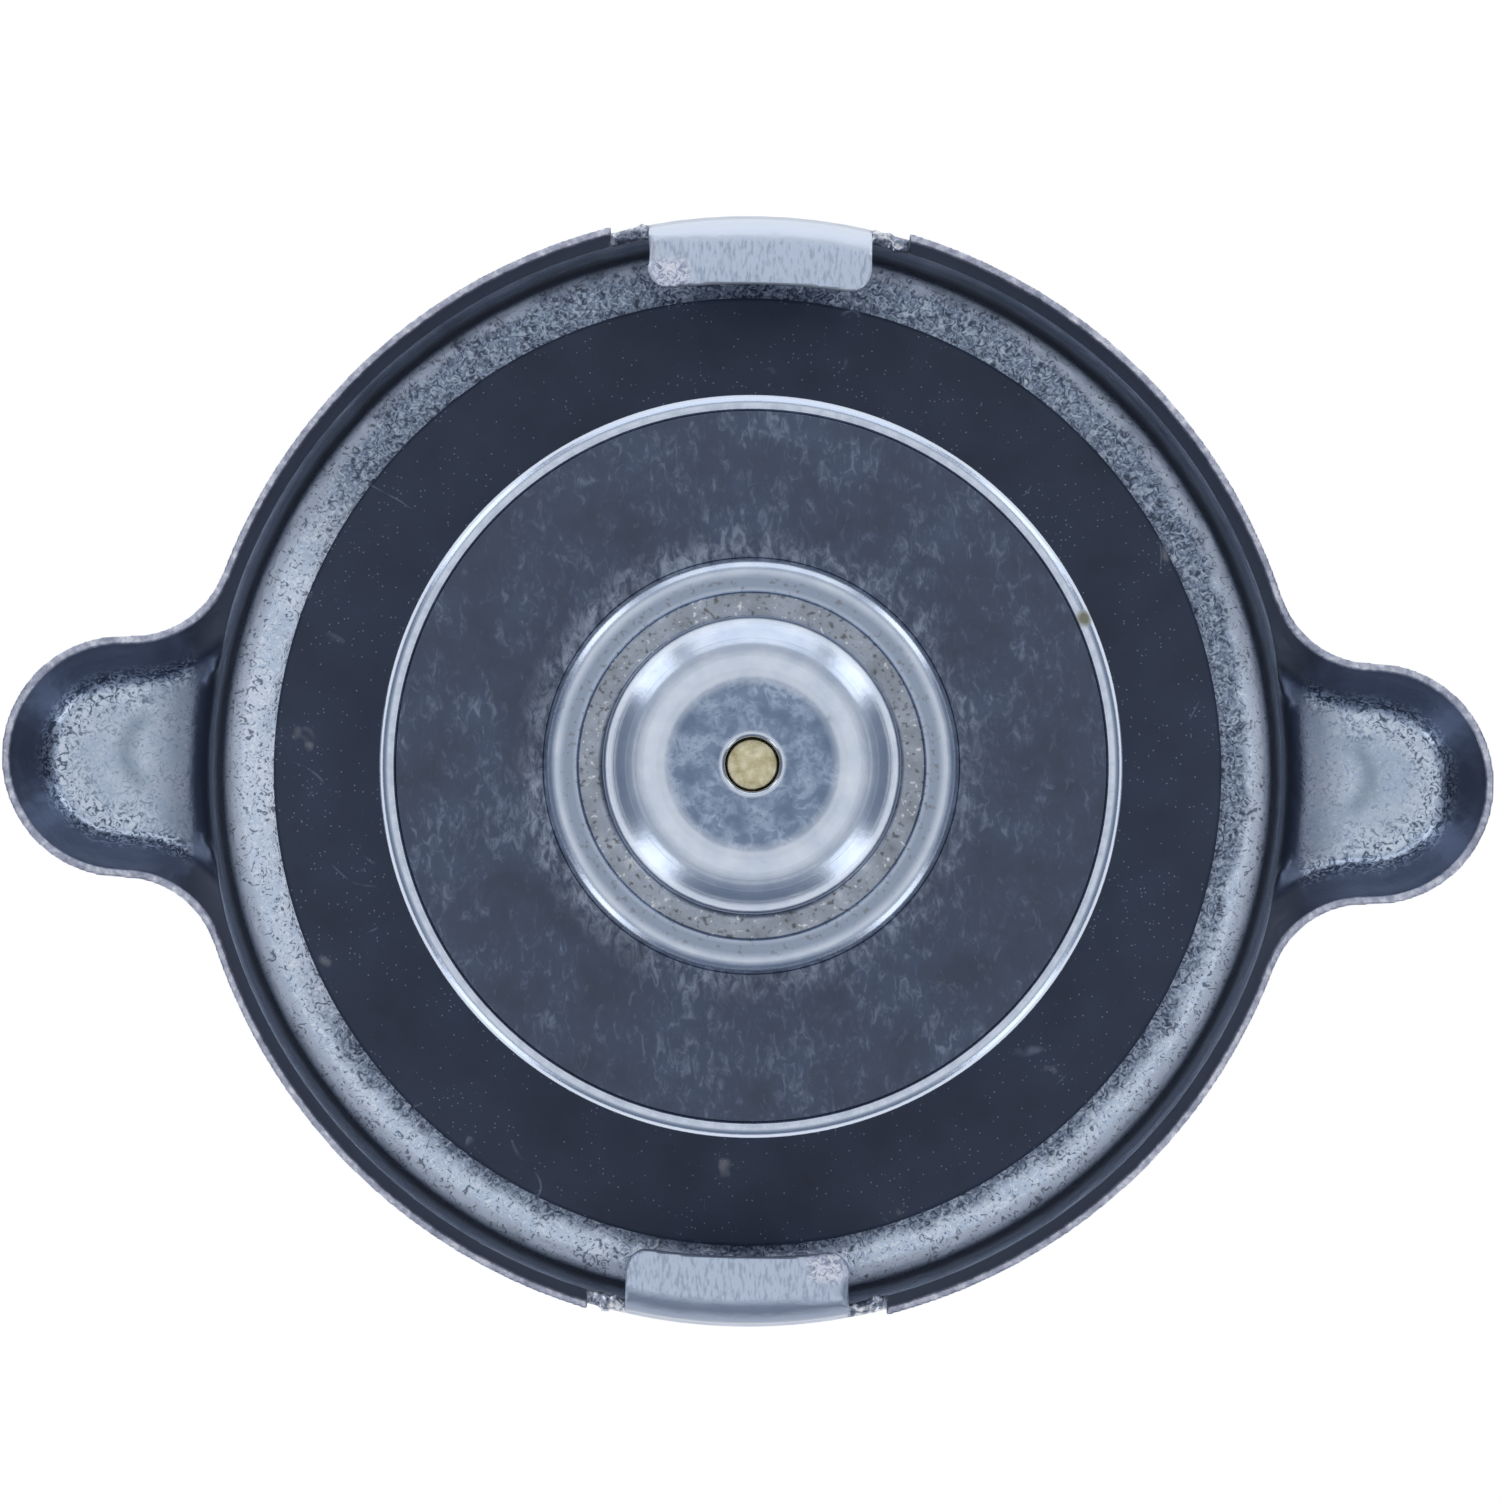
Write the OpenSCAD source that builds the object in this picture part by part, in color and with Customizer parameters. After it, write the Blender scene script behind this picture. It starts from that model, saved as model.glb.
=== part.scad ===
// Vented pressure cap for a radiator filler neck, lying on its cover with the underside up.
// Millimetres. The origin is the centre of the cover's flat top, +Z points towards the valve,
// +X runs along the two grip ears and +Y towards one locking tab.

/* [Cover] */
// Outside diameter of the flared rim
rim_d = 65; // [64:0.1:70]
// Height from the flat top to the edge of the rim
cover_h = 9.4; // [9:0.1:11]
// Thickness of the stamped sheet
sheet_t = 0.8; // [0.7:0.05:1]
// Thickness of the rim's sheared edge
edge_t = 0.45; // [0.3:0.05:0.6]
// How far the rim flares out beyond the skirt
lip_flare = 0.25; // [0.1:0.05:0.5]
// Height of the flared part of the rim
lip_h = 1.2; // [1:0.1:1.4]
// Inside radius of the bend from panel to skirt
panel_bend_r = 1.5; // [1:0.1:2]
// Diameter of the raised flat on the top
plateau_d = 48; // [40:0.5:50]
// Step from the raised flat down to the shoulder round it
shoulder_h = 0.8; // [0.4:0.1:1.2]
// Diameter of the centre recess that hides the rivet head
recess_d = 14; // [11:0.5:20]
// Depth of the centre recess
recess_h = 1.3; // [1.1:0.1:1.6]

/* [Grip ears] */
// Distance between the tips of the two ears
ear_span = 86.4; // [84:0.1:94]
// Radius of the round ear tip
ear_tip_r = 7; // [6:0.1:8]
// Radius of the hollow blend between ear and rim
ear_blend_r = 5.5; // [4.5:0.1:7]
// Depth of the ear's hollow below the rim
ear_depth = 3.8; // [3.2:0.1:3.8]
// Inside radius of the bend round the ear's floor
ear_bend_r = 1.3; // [1.3:0.05:1.4]
// Inside radius of the bend where the ear leaves the skirt
root_bend_r = 0.7; // [0.4:0.1:1]

/* [Locking tabs] */
// Width of a tab
tab_w = 12.9; // [10:0.1:15]
// Distance from the axis to the middle of a tab's inner edge
tab_edge = 28; // [27:0.1:29]
// Radius of a tab's hollow inner edge
tab_edge_r = 40; // [28:1:80]
// Height of a tab's inner face above the rim
tab_rise = 1.6; // [1.4:0.1:3]
// How far a tab's leg leans in from the skirt
tab_inset = 0.3; // [0:0.05:0.6]
// Inside radius of a tab's bend
tab_bend_r = 1; // [0.6:0.1:1.2]
// Radius of a tab's free corners
tab_corner_r = 1.2; // [0.6:0.1:2]
// Width of the sheared notch on each side of a tab
notch_w = 2.2; // [1:0.1:3]
// How far the notches reach below the flared lip
notch_drop = 0.3; // [0.2:0.05:0.5]
// Length of a tab's turned-down leading end
ramp_w = 2.3; // [1.5:0.1:3.5]
// Slope of a tab's leading end, in degrees
ramp_angle = 10; // [4:1:14]

/* [Swivel rivet] */
// Diameter of the rivet's shoulder, on which the cover turns
rivet_d = 5.2; // [4.6:0.1:6]
// Diameter of the rivet head in the cover's recess
rivet_head_d = 8.6; // [7.6:0.1:10]
// Thickness of the rivet head
rivet_head_h = 0.7; // [0.5:0.05:0.8]
// Diameter of the tenon through the clamped stack
tenon_d = 4; // [3.4:0.1:4.4]
// Diameter of the head that closes the tenon
clinch_d = 7; // [5.6:0.1:8]
// Thickness of the head that closes the tenon
clinch_h = 0.9; // [0.6:0.1:1.2]
// Radial clearance between rivet and cover
swivel_clear = 0.1; // [0.05:0.01:0.2]
// Clearance along the axis on each side of the cover
swivel_gap = 0.2; // [0.1:0.05:0.25]

/* [Neck gasket] */
// Outside diameter of the rubber gasket
gasket_d = 55.5; // [53:0.1:57]
// Thickness of the gasket under the neck's edge
gasket_t = 2; // [1.6:0.1:2.6]
// Depth of the gasket's recess for the spring seat
gasket_recess = 0.6; // [0.3:0.1:1]
// Diameter of the spring disc behind the gasket
disc_d = 53; // [46:0.5:54]
// Thickness of the spring disc
disc_t = 0.4; // [0.3:0.05:0.6]

/* [Valve] */
// Free distance from the gasket's face to the seal's face
valve_reach = 21.5; // [20.5:0.1:27]
// How far the valve can lift off its seat
valve_lift = 6; // [4:0.5:7]
// Outside diameter of the cup that holds the seal
cup_d = 41.3; // [39:0.1:43]
// Thickness of the cup
cup_t = 0.95; // [0.7:0.05:1.2]
// Inside radius of the bend at the cup's rim
cup_bend_r = 0.6; // [0.3:0.1:1]
// Rounding of the inner edge of the cup's rim
cup_lip_r = 0.2; // [0.1:0.05:0.3]
// Thickness of the seal
seal_t = 1.9; // [1.6:0.1:2.4]
// How far the seal stands above the cup's rim
seal_proud = 0.3; // [0.1:0.05:0.6]
// Radial clearance between seal and cup rim
seal_clear = 0.1; // [0.05:0.05:0.3]
// Diameter of the dome tube
dome_d = 16.4; // [15:0.1:18]
// Wall of the dome tube and the guide cup
tube_t = 0.7; // [0.5:0.05:0.9]
// Height of the dome above its collar
dome_h = 5; // [4.4:0.1:7]
// Diameter of the flat end of the dome
dome_flat_d = 9.8; // [8:0.1:11]
// Diameter of the hole in the dome
dome_hole_d = 3.3; // [3.1:0.05:4]
// Diameter of the collar that clamps the seal
collar_d = 23.1; // [21.5:0.1:25]
// Thickness of the collar
collar_t = 1.2; // [0.9:0.1:1.6]
// Inner diameter of the collar's raised ring
collar_ring_d = 19.2; // [18.6:0.1:20.4]
// Height of the collar's raised ring
collar_ring_h = 0.35; // [0.2:0.05:0.5]
// Rounding of the raised ring's inner edge
collar_edge_r = 0.15; // [0.1:0.05:0.2]
// Rounding at the foot of the dome
dome_foot_r = 0.4; // [0.2:0.05:0.6]
// Depth to which the collar sinks into the seal
collar_sink = 0.4; // [0.2:0.05:0.6]
// Diameter of the breather ports in the dome tube
port_d = 3; // [2:0.1:3.6]
// Number of breather ports
port_count = 4; // [2:1:6]
// Width of the lips that keep dome tube and guide cup together
catch_w = 1.1; // [0.8:0.1:1.4]
// Radial clearance between dome tube and guide cup
slide_clear = 0.15; // [0.1:0.05:0.25]
// Clearance between the two lips at rest
stop_gap = 0.1; // [0.05:0.05:0.2]
// Space left under the dome tube at full lift
lift_spare = 1.4; // [1:0.1:2]

/* [Pressure spring] */
// Wire diameter
wire_d = 2.2; // [1.8:0.1:2.4]
// Number of turns, closed ends included
spring_turns = 4.75; // [4:0.25:5]
// Radial space between dome tube and spring
spring_clear = 1.7; // [1:0.1:2.4]
// Thickness of the spring seat
seat_t = 0.8; // [0.6:0.05:1]
// Height of the spring seat's turned-up rim
seat_rim_h = 1.6; // [1:0.1:2.4]
// Radial space between the spring and the seat's rim
seat_clear = 0.7; // [0.4:0.1:1.2]

/* [Vacuum valve] */
// How far the vacuum valve opens
vacuum_lift = 2; // [1:0.1:2.5]
// Diameter of the brass disc
vacuum_d = 11.2; // [10:0.1:12]
// Thickness of the brass disc
vacuum_t = 0.9; // [0.7:0.05:1.2]
// Diameter of the brass stem
stem_d = 2.8; // [2.4:0.05:2.9]
// Depth of the stem's end inside the dome's hole
stem_sink = 1; // [0.8:0.1:1.6]
// Diameter of the hub that stops the valve against the dome
hub_d = 4; // [3.5:0.1:4.2]
// Opening of the rubber seat under the disc
vacuum_bore = 7.4; // [6:0.1:8]
// Thickness of the rubber seat
vacuum_seat_t = 1.4; // [1:0.1:1.8]
// Wire diameter of the vacuum spring
fine_wire_d = 0.45; // [0.3:0.05:0.6]
// Mean diameter of the vacuum spring
fine_spring_d = 5.6; // [4.4:0.1:6.4]
// Number of turns of the vacuum spring
fine_turns = 5; // [4:0.5:6]

/* [Hidden] */
$fn = 96;

// Cuts run this far past the faces that they open
past = 1;
// A hair's breadth that keeps faces from falling together
seam = 0.02;
// Horizontal shift of a 45 degree step when the sheet is offset by its thickness
step_shift = sheet_t * tan(22.5);

// Radii of the cover, from the rim inwards
rim_r = rim_d / 2;
skirt_out = rim_r - lip_flare;
skirt_in = skirt_out - sheet_t;
lip_z = cover_h - lip_h;

// Centres of the ear's tip and of the blends beside it
ear_x = ear_span / 2 - ear_tip_r;
blend_far = rim_r + ear_blend_r;
blend_near = ear_tip_r + ear_blend_r;
blend_x = (blend_far * blend_far - blend_near * blend_near + ear_x * ear_x) / (2 * ear_x);
blend_y = sqrt(blend_far * blend_far - blend_x * blend_x);
ear_in_z = cover_h - ear_depth;
ear_out_z = ear_in_z - sheet_t;
// How far the ear's wall leans in between lip and floor, its lean for each millimetre of height, its angle,
// and the reach of its bend along the floor
ear_draft = 1.5;
ear_slope = ear_draft / (lip_z - ear_in_z);
ear_lean = atan(ear_slope);
function bend_reach(r) = r / tan(45 + ear_lean / 2);

// Locking tabs; their legs start a hair inside the skirt's two faces and lean in to the bend
tab_in_z = cover_h + tab_rise;
tab_out_z = tab_in_z + sheet_t;
tab_outer_bend = tab_bend_r + sheet_t;
leg_out = skirt_out - seam;
leg_in = skirt_in + seam;
bend_out = leg_out - tab_inset;
bend_in = leg_in - tab_inset;
tab_flat_end = bend_out - tab_outer_bend;
// The turned-down end starts this far inside the flat and lies this much lower there
ramp_bite = 0.12;
ramp_sink = 0.05;
// Sector of the turned form that a tab is cut from, in degrees
tab_sector = 60;
tab_edge_y = tab_edge - tab_edge_r;
tab_corner_y = tab_edge_y + sqrt(pow(tab_edge_r + tab_corner_r, 2) - pow(tab_w / 2 - tab_corner_r, 2));

// Stack on the rivet, from the cover's recess upwards
recess_in_z = recess_h + sheet_t;
disc_z = recess_in_z + swivel_gap;
gasket_z = disc_z + disc_t;
gasket_face = gasket_z + gasket_t;
seat_z = gasket_face - gasket_recess;
guide_z = seat_z + seat_t;
clinch_z = guide_z + tube_t;

// Sliding fit of the dome tube on the guide cup
dome_r = dome_d / 2;
dome_in = dome_r - tube_t;
guide_flange_r = dome_in - slide_clear;
guide_r = guide_flange_r - catch_w;
catch_in = guide_r + slide_clear;
catch_z = guide_z + lift_spare + valve_lift;
catch_top = catch_z + tube_t;
guide_flange_z = catch_top + stop_gap;
guide_top = guide_flange_z + tube_t;

// Levels and radii of the valve
seal_face = gasket_face + valve_reach;
cup_front = seal_face - seal_t;
cup_back = cup_front - cup_t;
cup_rim_z = seal_face - seal_proud;
cup_r = cup_d / 2;
cup_in = cup_r - cup_t;
cup_outer_bend = cup_bend_r + cup_t;
// The rim's outer edge is rounded over most of what the inner rounding leaves
cup_edge_r = 0.9 * (cup_t - cup_lip_r);
collar_z = seal_face - collar_sink;
collar_top = collar_z + collar_t;
collar_r = collar_d / 2;
dome_top = collar_top + dome_h;
dome_bend = dome_r - dome_flat_d / 2;
// Gap between the collar and the seal's raised land, rounding of the land, and clearance of a light press fit
land_gap = 0.1;
seal_edge_r = 0.25;
press_clear = 0.05;

// Pressure spring and its seat
spring_r = dome_r + spring_clear + wire_d / 2;
seat_rim_in = spring_r + wire_d / 2 + seat_clear;
seat_r = seat_rim_in + seat_t;
seat_bend_r = 0.4;
gasket_side_clear = 0.3;
gasket_recess_r = seat_r + gasket_side_clear;

// Vacuum valve inside the dome tube; a rolled-in bead carries its seat
bead_h = 0.9;
bead_w = 0.8;
bead_z = cup_back - bead_h;
vacuum_seat_z = bead_z + bead_h;
vacuum_z = vacuum_seat_z + vacuum_seat_t;
vacuum_top = vacuum_z + vacuum_t;
dome_inside = dome_top - tube_t;
hub_top = dome_inside - vacuum_lift - stop_gap;
stem_end = dome_top - stem_sink;
stem_edge = 0.25;
port_z = (catch_top + bead_z) / 2;

// Sides of the wires and steps along each turn of the springs
wire_sides = 10;
turn_steps = 26;
fine_sides = 8;
fine_steps = 18;
// Pitch of the closed end turns, in wire diameters
closed_pitch = 1.15;

plated_steel = [0.66, 0.70, 0.77];
bright_steel = [0.72, 0.76, 0.82];
spring_steel = [0.55, 0.58, 0.62];
black_rubber = [0.18, 0.21, 0.26];
grey_rubber = [0.28, 0.32, 0.39];
brass = [0.74, 0.71, 0.58];

// Sliver between a square corner at [x, y] and its rounding; sx and sy point into the corner
module corner_sliver(r, x, y, sx, sy) {
    difference() {
        translate([min(x, x + sx * r), min(y, y + sy * r)]) square(r);
        translate([x + sx * r, y + sy * r]) circle(r);
    }
}

// Ring of rectangular section
module ring(inner, outer, z0, z1) {
    rotate_extrude() translate([inner, z0]) square([outer - inner, z1 - z0]);
}

// Filled outer form of the round pan: panel steps, bend, skirt and flared lip
module pan_outside() {
    rotate_extrude() difference() {
        polygon([
            [0, cover_h], [0, recess_h],
            [recess_d / 2, recess_h], [recess_d / 2 + recess_h, 0],
            [plateau_d / 2, 0], [plateau_d / 2 + shoulder_h, shoulder_h],
            [skirt_out, shoulder_h], [skirt_out, lip_z], [rim_r, cover_h]
        ]);
        corner_sliver(panel_bend_r + sheet_t, skirt_out, shoulder_h, -1, 1);
    }
}

// Hollow of the round pan, one sheet thickness inside its outer form
module pan_hollow() {
    floor_z = shoulder_h + sheet_t;
    rotate_extrude() difference() {
        polygon([
            [0, cover_h + past], [0, recess_in_z],
            [recess_d / 2 + step_shift, recess_in_z], [recess_d / 2 + recess_h + step_shift, sheet_t],
            [plateau_d / 2 - step_shift, sheet_t], [plateau_d / 2 + shoulder_h - step_shift, floor_z],
            [skirt_in, floor_z], [skirt_in, lip_z], [rim_r - edge_t, cover_h],
            [rim_r - edge_t, cover_h + past]
        ]);
        corner_sliver(panel_bend_r, skirt_in, floor_z, -1, 1);
    }
}

// Plan between the axis, the two blend centres and the ear's tip centre
module ear_kite() {
    polygon([[0, 0], [blend_x, blend_y], [ear_x, 0], [blend_x, -blend_y]]);
}

// Sliver between the ear's floor and its leaning wall, outside their bend; side is -1 where the wall rises outwards
module ear_bend(r, x, z, side) {
    reach = bend_reach(r);
    difference() {
        polygon([
            [x, z], [x + side * reach, z], [x + side * reach, z + r],
            [x - side * reach * sin(ear_lean), z + reach * cos(ear_lean)]
        ]);
        translate([x + side * reach, z + r]) circle(r);
    }
}

// Round block under the ear's tip; inset moves its wall inside the rim's outline and edge its upper end
module ear_tip(inset, edge, bend, z0, z1) {
    r = ear_tip_r - lip_flare - inset;
    foot = r - ear_slope * (lip_z - z0);
    end_r = ear_tip_r - edge;
    translate([ear_x, 0, 0]) rotate_extrude() difference() {
        polygon([[0, z0], [foot, z0], [r, lip_z], [end_r, cover_h], [end_r, z1], [0, z1]]);
        ear_bend(bend, foot, z0, -1);
    }
}

// Material that the hollow blend beside the ear takes away
module ear_blend_cut(inset, edge, bend, z0, z1) {
    r = ear_blend_r + lip_flare + inset - seam;
    foot = r + ear_slope * (lip_z - z0);
    end_r = ear_blend_r + edge - seam;
    rotate_extrude() union() {
        polygon([[0, z0 - past], [foot, z0 - past], [foot, z0], [r, lip_z], [end_r, cover_h], [end_r, z1], [0, z1]]);
        ear_bend(bend, foot, z0, 1);
    }
}

// Ear as a filled form, from its floor at z0 up to z1
module ear_form(inset, edge, bend, z0, z1) {
    ear_tip(inset, edge, bend, z0, z1);
    difference() {
        translate([0, 0, z0]) linear_extrude(z1 - z0) ear_kite();
        for (side = [-1, 1])
            translate([blend_x, side * blend_y, 0]) ear_blend_cut(inset, edge, bend, z0, z1 + past);
    }
}

// Rounding along the edge where the ear's floor meets the skirt, kept to the floor's flat width;
// it reaches a hair into the ear and the pan
module ear_root(r, edge_r, edge_z, inset, bend) {
    floor_edge = ear_blend_r + lip_flare + inset + ear_slope * (lip_z - edge_z) + bend_reach(bend);
    intersection() {
        rotate_extrude() difference() {
            translate([edge_r - seam, edge_z - r]) square(r + seam);
            translate([edge_r + r, edge_z - r]) circle(r);
        }
        translate([0, 0, edge_z - r]) linear_extrude(r + seam) difference() {
            ear_kite();
            for (side = [-1, 1])
                translate([blend_x, side * blend_y]) circle(floor_edge);
        }
    }
}

module both_ears() {
    for (turn = [0, 180]) rotate(turn) children();
}

// Plan of a tab: straight sides, hollow inner edge and rounded free corners
module tab_plan() {
    corner_x = tab_w / 2 - tab_corner_r;
    difference() {
        translate([-tab_w / 2, tab_edge - 2 * tab_corner_r]) square([tab_w, rim_r - tab_edge + 2 * tab_corner_r]);
        translate([0, tab_edge_y]) circle(tab_edge_r);
        for (side = [-1, 1]) difference() {
            translate([side * (corner_x + tab_corner_r), tab_corner_y - tab_corner_r])
                square([2 * tab_corner_r, 2 * tab_corner_r], center = true);
            translate([side * corner_x, tab_corner_y]) circle(tab_corner_r);
        }
    }
}

// Bent strip of a tab: a leg in line with the skirt and a flat turned in over the neck
module tab_strip() {
    leg_z = lip_z - notch_drop - sheet_t;
    intersection() {
        rotate([0, 0, 90 - tab_sector / 2]) rotate_extrude(angle = tab_sector) union() {
            difference() {
                polygon([
                    [leg_in, leg_z], [leg_out, leg_z], [leg_out, lip_z], [bend_out, cover_h],
                    [bend_out, tab_out_z], [tab_edge - 2 * tab_corner_r, tab_out_z],
                    [tab_edge - 2 * tab_corner_r, tab_in_z], [bend_in, tab_in_z], [bend_in, cover_h],
                    [leg_in, lip_z]
                ]);
                corner_sliver(tab_outer_bend, bend_out, tab_out_z, -1, -1);
            }
            corner_sliver(tab_bend_r, bend_in, tab_in_z, -1, -1);
        }
        translate([0, 0, leg_z - past]) linear_extrude(tab_out_z - leg_z + 2 * past) tab_plan();
    }
}

// Box over the leading end of a tab's flat, reaching inwards by bite
module ramp_window(bite) {
    translate([-tab_w / 2 - past, 0, 0])
        cube([ramp_w + past + bite, tab_flat_end + bite, tab_out_z + past]);
}

// Tab whose leading end is turned down so that it runs up the neck's ramp
module tab() {
    ramp_x = ramp_w - tab_w / 2;
    ramp_z = tab_in_z + sheet_t / 2;
    difference() {
        tab_strip();
        ramp_window(0);
    }
    translate([ramp_x, 0, ramp_z - ramp_sink]) rotate([0, -ramp_angle, 0]) translate([-ramp_x, 0, -ramp_z])
        intersection() {
            tab_strip();
            ramp_window(ramp_bite);
        }
}

module cover() color(plated_steel) {
    gap_w = tab_w + 2 * notch_w;
    difference() {
        union() {
            pan_outside();
            both_ears() {
                ear_form(0, 0, ear_bend_r + sheet_t, ear_out_z, cover_h);
                ear_root(root_bend_r, skirt_out, ear_out_z, 0, ear_bend_r + sheet_t);
            }
        }
        pan_hollow();
        both_ears() {
            ear_form(sheet_t, edge_t, ear_bend_r, ear_in_z, cover_h + past);
            ear_root(root_bend_r + sheet_t, skirt_in, ear_in_z, sheet_t, ear_bend_r);
            translate([-gap_w / 2, skirt_in - 2 * sheet_t, lip_z - notch_drop])
                cube([gap_w, lip_flare + 4 * sheet_t, lip_h + notch_drop + past]);
        }
        translate([0, 0, -past]) cylinder(d = rivet_d + 2 * swivel_clear, h = recess_in_z + 2 * past);
    }
    both_ears() tab();
}

module swivel_rivet() color(spring_steel) {
    head_z = recess_h - swivel_gap - rivet_head_h;
    edge = rivet_head_h / 2;
    rotate_extrude() polygon([
        [0, head_z], [rivet_head_d / 2 - edge, head_z], [rivet_head_d / 2, head_z + edge],
        [rivet_head_d / 2, head_z + rivet_head_h], [rivet_d / 2, head_z + rivet_head_h],
        [rivet_d / 2, disc_z], [tenon_d / 2, disc_z], [tenon_d / 2, clinch_z],
        [clinch_d / 2, clinch_z], [clinch_d / 2 - clinch_h / 2, clinch_z + clinch_h],
        [0, clinch_z + clinch_h]
    ]);
}

module spring_disc() color(spring_steel) {
    ring(tenon_d / 2 + press_clear, disc_d / 2, disc_z, disc_z + disc_t);
}

module neck_gasket() color(black_rubber) {
    difference() {
        ring(tenon_d / 2 + press_clear, gasket_d / 2, gasket_z, gasket_face);
        translate([0, 0, seat_z]) cylinder(r = gasket_recess_r, h = gasket_recess + past);
    }
}

module spring_seat() color(plated_steel) {
    outer_bend = seat_bend_r + seat_t;
    rotate_extrude() difference() {
        polygon([
            [tenon_d / 2 + press_clear, seat_z], [seat_r, seat_z],
            [seat_r, seat_z + seat_t + seat_rim_h], [seat_rim_in, seat_z + seat_t + seat_rim_h],
            [seat_rim_in, seat_z + seat_t], [tenon_d / 2 + press_clear, seat_z + seat_t]
        ]);
        corner_sliver(outer_bend, seat_r, seat_z, -1, 1);
    }
}

module guide_cup() color(plated_steel) {
    bend = 2 * tube_t;
    rotate_extrude() difference() {
        polygon([
            [tenon_d / 2 + press_clear, guide_z], [guide_r, guide_z], [guide_r, guide_flange_z],
            [guide_flange_r, guide_flange_z], [guide_flange_r, guide_top], [guide_r - tube_t, guide_top],
            [guide_r - tube_t, clinch_z], [tenon_d / 2 + press_clear, clinch_z]
        ]);
        corner_sliver(bend, guide_r, guide_z, -1, 1);
        corner_sliver(bend, guide_r - tube_t, guide_top, 1, -1);
    }
}

// Height of a closed-end coil's centre line after a number of turns
function coil_rise(turn, turns, wire, span) =
    let (closed = closed_pitch * wire, open = (span - 2 * closed) / (turns - 2))
    turn < 1 ? turn * closed
        : turn > turns - 1 ? span - (turns - turn) * closed
        : closed + (turn - 1) * open;

// Coil spring from z0 to z1 with closed ends
module coil(mean_r, wire, turns, z0, z1, sides, steps) {
    rings = floor(turns * steps);
    points = [
        for (i = [0:rings])
            let (turn = turns * i / rings, mid_z = z0 + wire / 2 + coil_rise(turn, turns, wire, z1 - z0 - wire))
            for (k = [0:sides - 1])
                let (a = 360 * (k + 0.5) / sides, r = mean_r + wire / 2 * cos(a))
                [r * cos(360 * turn), r * sin(360 * turn), mid_z + wire / 2 * sin(a)]
    ];
    walls = [
        for (i = [0:rings - 1], k = [0:sides - 1])
            let (a = i * sides + k, b = i * sides + (k + 1) % sides)
            each [[a, b, b + sides], [a, b + sides, a + sides]]
    ];
    ends = [[for (k = [sides - 1:-1:0]) k], [for (k = [0:sides - 1]) rings * sides + k]];
    polyhedron(points, concat(walls, ends));
}

module pressure_spring() color(spring_steel) {
    coil(spring_r, wire_d, spring_turns, guide_z, cup_back, wire_sides, turn_steps);
}

module valve_cup() color(bright_steel) {
    rotate_extrude() difference() {
        polygon([
            [dome_r + press_clear, cup_back], [cup_r, cup_back], [cup_r, cup_rim_z], [cup_in, cup_rim_z],
            [cup_in, cup_front], [dome_r + press_clear, cup_front]
        ]);
        corner_sliver(cup_outer_bend, cup_r, cup_back, -1, 1);
        corner_sliver(cup_edge_r, cup_r, cup_rim_z, -1, -1);
        corner_sliver(cup_lip_r, cup_in, cup_rim_z, 1, -1);
    }
}

module pressure_seal() color(grey_rubber) {
    edge_r = cup_in - seal_clear;
    land_in = collar_r + land_gap;
    rotate_extrude() difference() {
        polygon([
            [dome_r + press_clear, cup_front], [edge_r, cup_front], [edge_r, seal_face], [land_in, seal_face],
            [land_in, collar_z], [dome_r + press_clear, collar_z]
        ]);
        corner_sliver(seal_edge_r, edge_r, seal_face, -1, -1);
    }
}

// Section of the dome tube: inner lip, wall with bead, folded collar, dome with hole
module dome_section() {
    difference() {
        polygon([
            [dome_in, catch_top], [catch_in, catch_top], [catch_in, catch_z], [dome_r, catch_z],
            [dome_r, collar_z], [collar_r, collar_z], [collar_r, collar_top],
            [collar_ring_d / 2, collar_top], [collar_ring_d / 2, collar_top - collar_ring_h],
            [dome_r, collar_top - collar_ring_h], [dome_r, dome_top], [dome_hole_d / 2, dome_top],
            [dome_hole_d / 2, dome_inside], [dome_in, dome_inside],
            [dome_in, bead_z + bead_h], [dome_in - bead_w, bead_z + bead_h / 2], [dome_in, bead_z]
        ]);
        corner_sliver(collar_t / 2 - seam, collar_r, collar_top, -1, -1);
        corner_sliver(collar_t / 2 - seam, collar_r, collar_z, -1, 1);
        corner_sliver(collar_edge_r, collar_ring_d / 2, collar_top, 1, -1);
        corner_sliver(tube_t, dome_r, catch_z, -1, 1);
        corner_sliver(dome_bend, dome_r, dome_top, -1, -1);
    }
    corner_sliver(dome_bend - tube_t, dome_in, dome_inside, -1, -1);
    corner_sliver(dome_foot_r, dome_r, collar_top - collar_ring_h, 1, 1);
}

module dome_tube() color(bright_steel) {
    difference() {
        rotate_extrude() dome_section();
        for (i = [0:port_count - 1])
            translate([0, 0, port_z]) rotate([0, 90, 360 * i / port_count]) cylinder(d = port_d, h = dome_r + past);
    }
}

module vacuum_seat() color(black_rubber) {
    ring(vacuum_bore / 2, dome_in - press_clear, vacuum_seat_z, vacuum_z);
}

module vacuum_valve() color(brass) {
    rotate_extrude() polygon([
        [0, vacuum_z], [vacuum_d / 2, vacuum_z], [vacuum_d / 2, vacuum_top], [hub_d / 2, vacuum_top],
        [hub_d / 2, hub_top], [stem_d / 2, hub_top], [stem_d / 2, stem_end - stem_edge],
        [stem_d / 2 - stem_edge, stem_end], [0, stem_end]
    ]);
}

module vacuum_spring() color(spring_steel) {
    coil(fine_spring_d / 2, fine_wire_d, fine_turns, vacuum_top, dome_inside, fine_sides, fine_steps);
}

cover();
swivel_rivet();
spring_disc();
neck_gasket();
spring_seat();
guide_cup();
pressure_spring();
valve_cup();
pressure_seal();
dome_tube();
vacuum_seat();
vacuum_valve();
vacuum_spring();
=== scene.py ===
"""Looks of a radiator pressure cap that lies on its cover, seen from above on its underside."""
import math
import random

import bpy
from mathutils import Euler, Matrix, Vector


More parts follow.
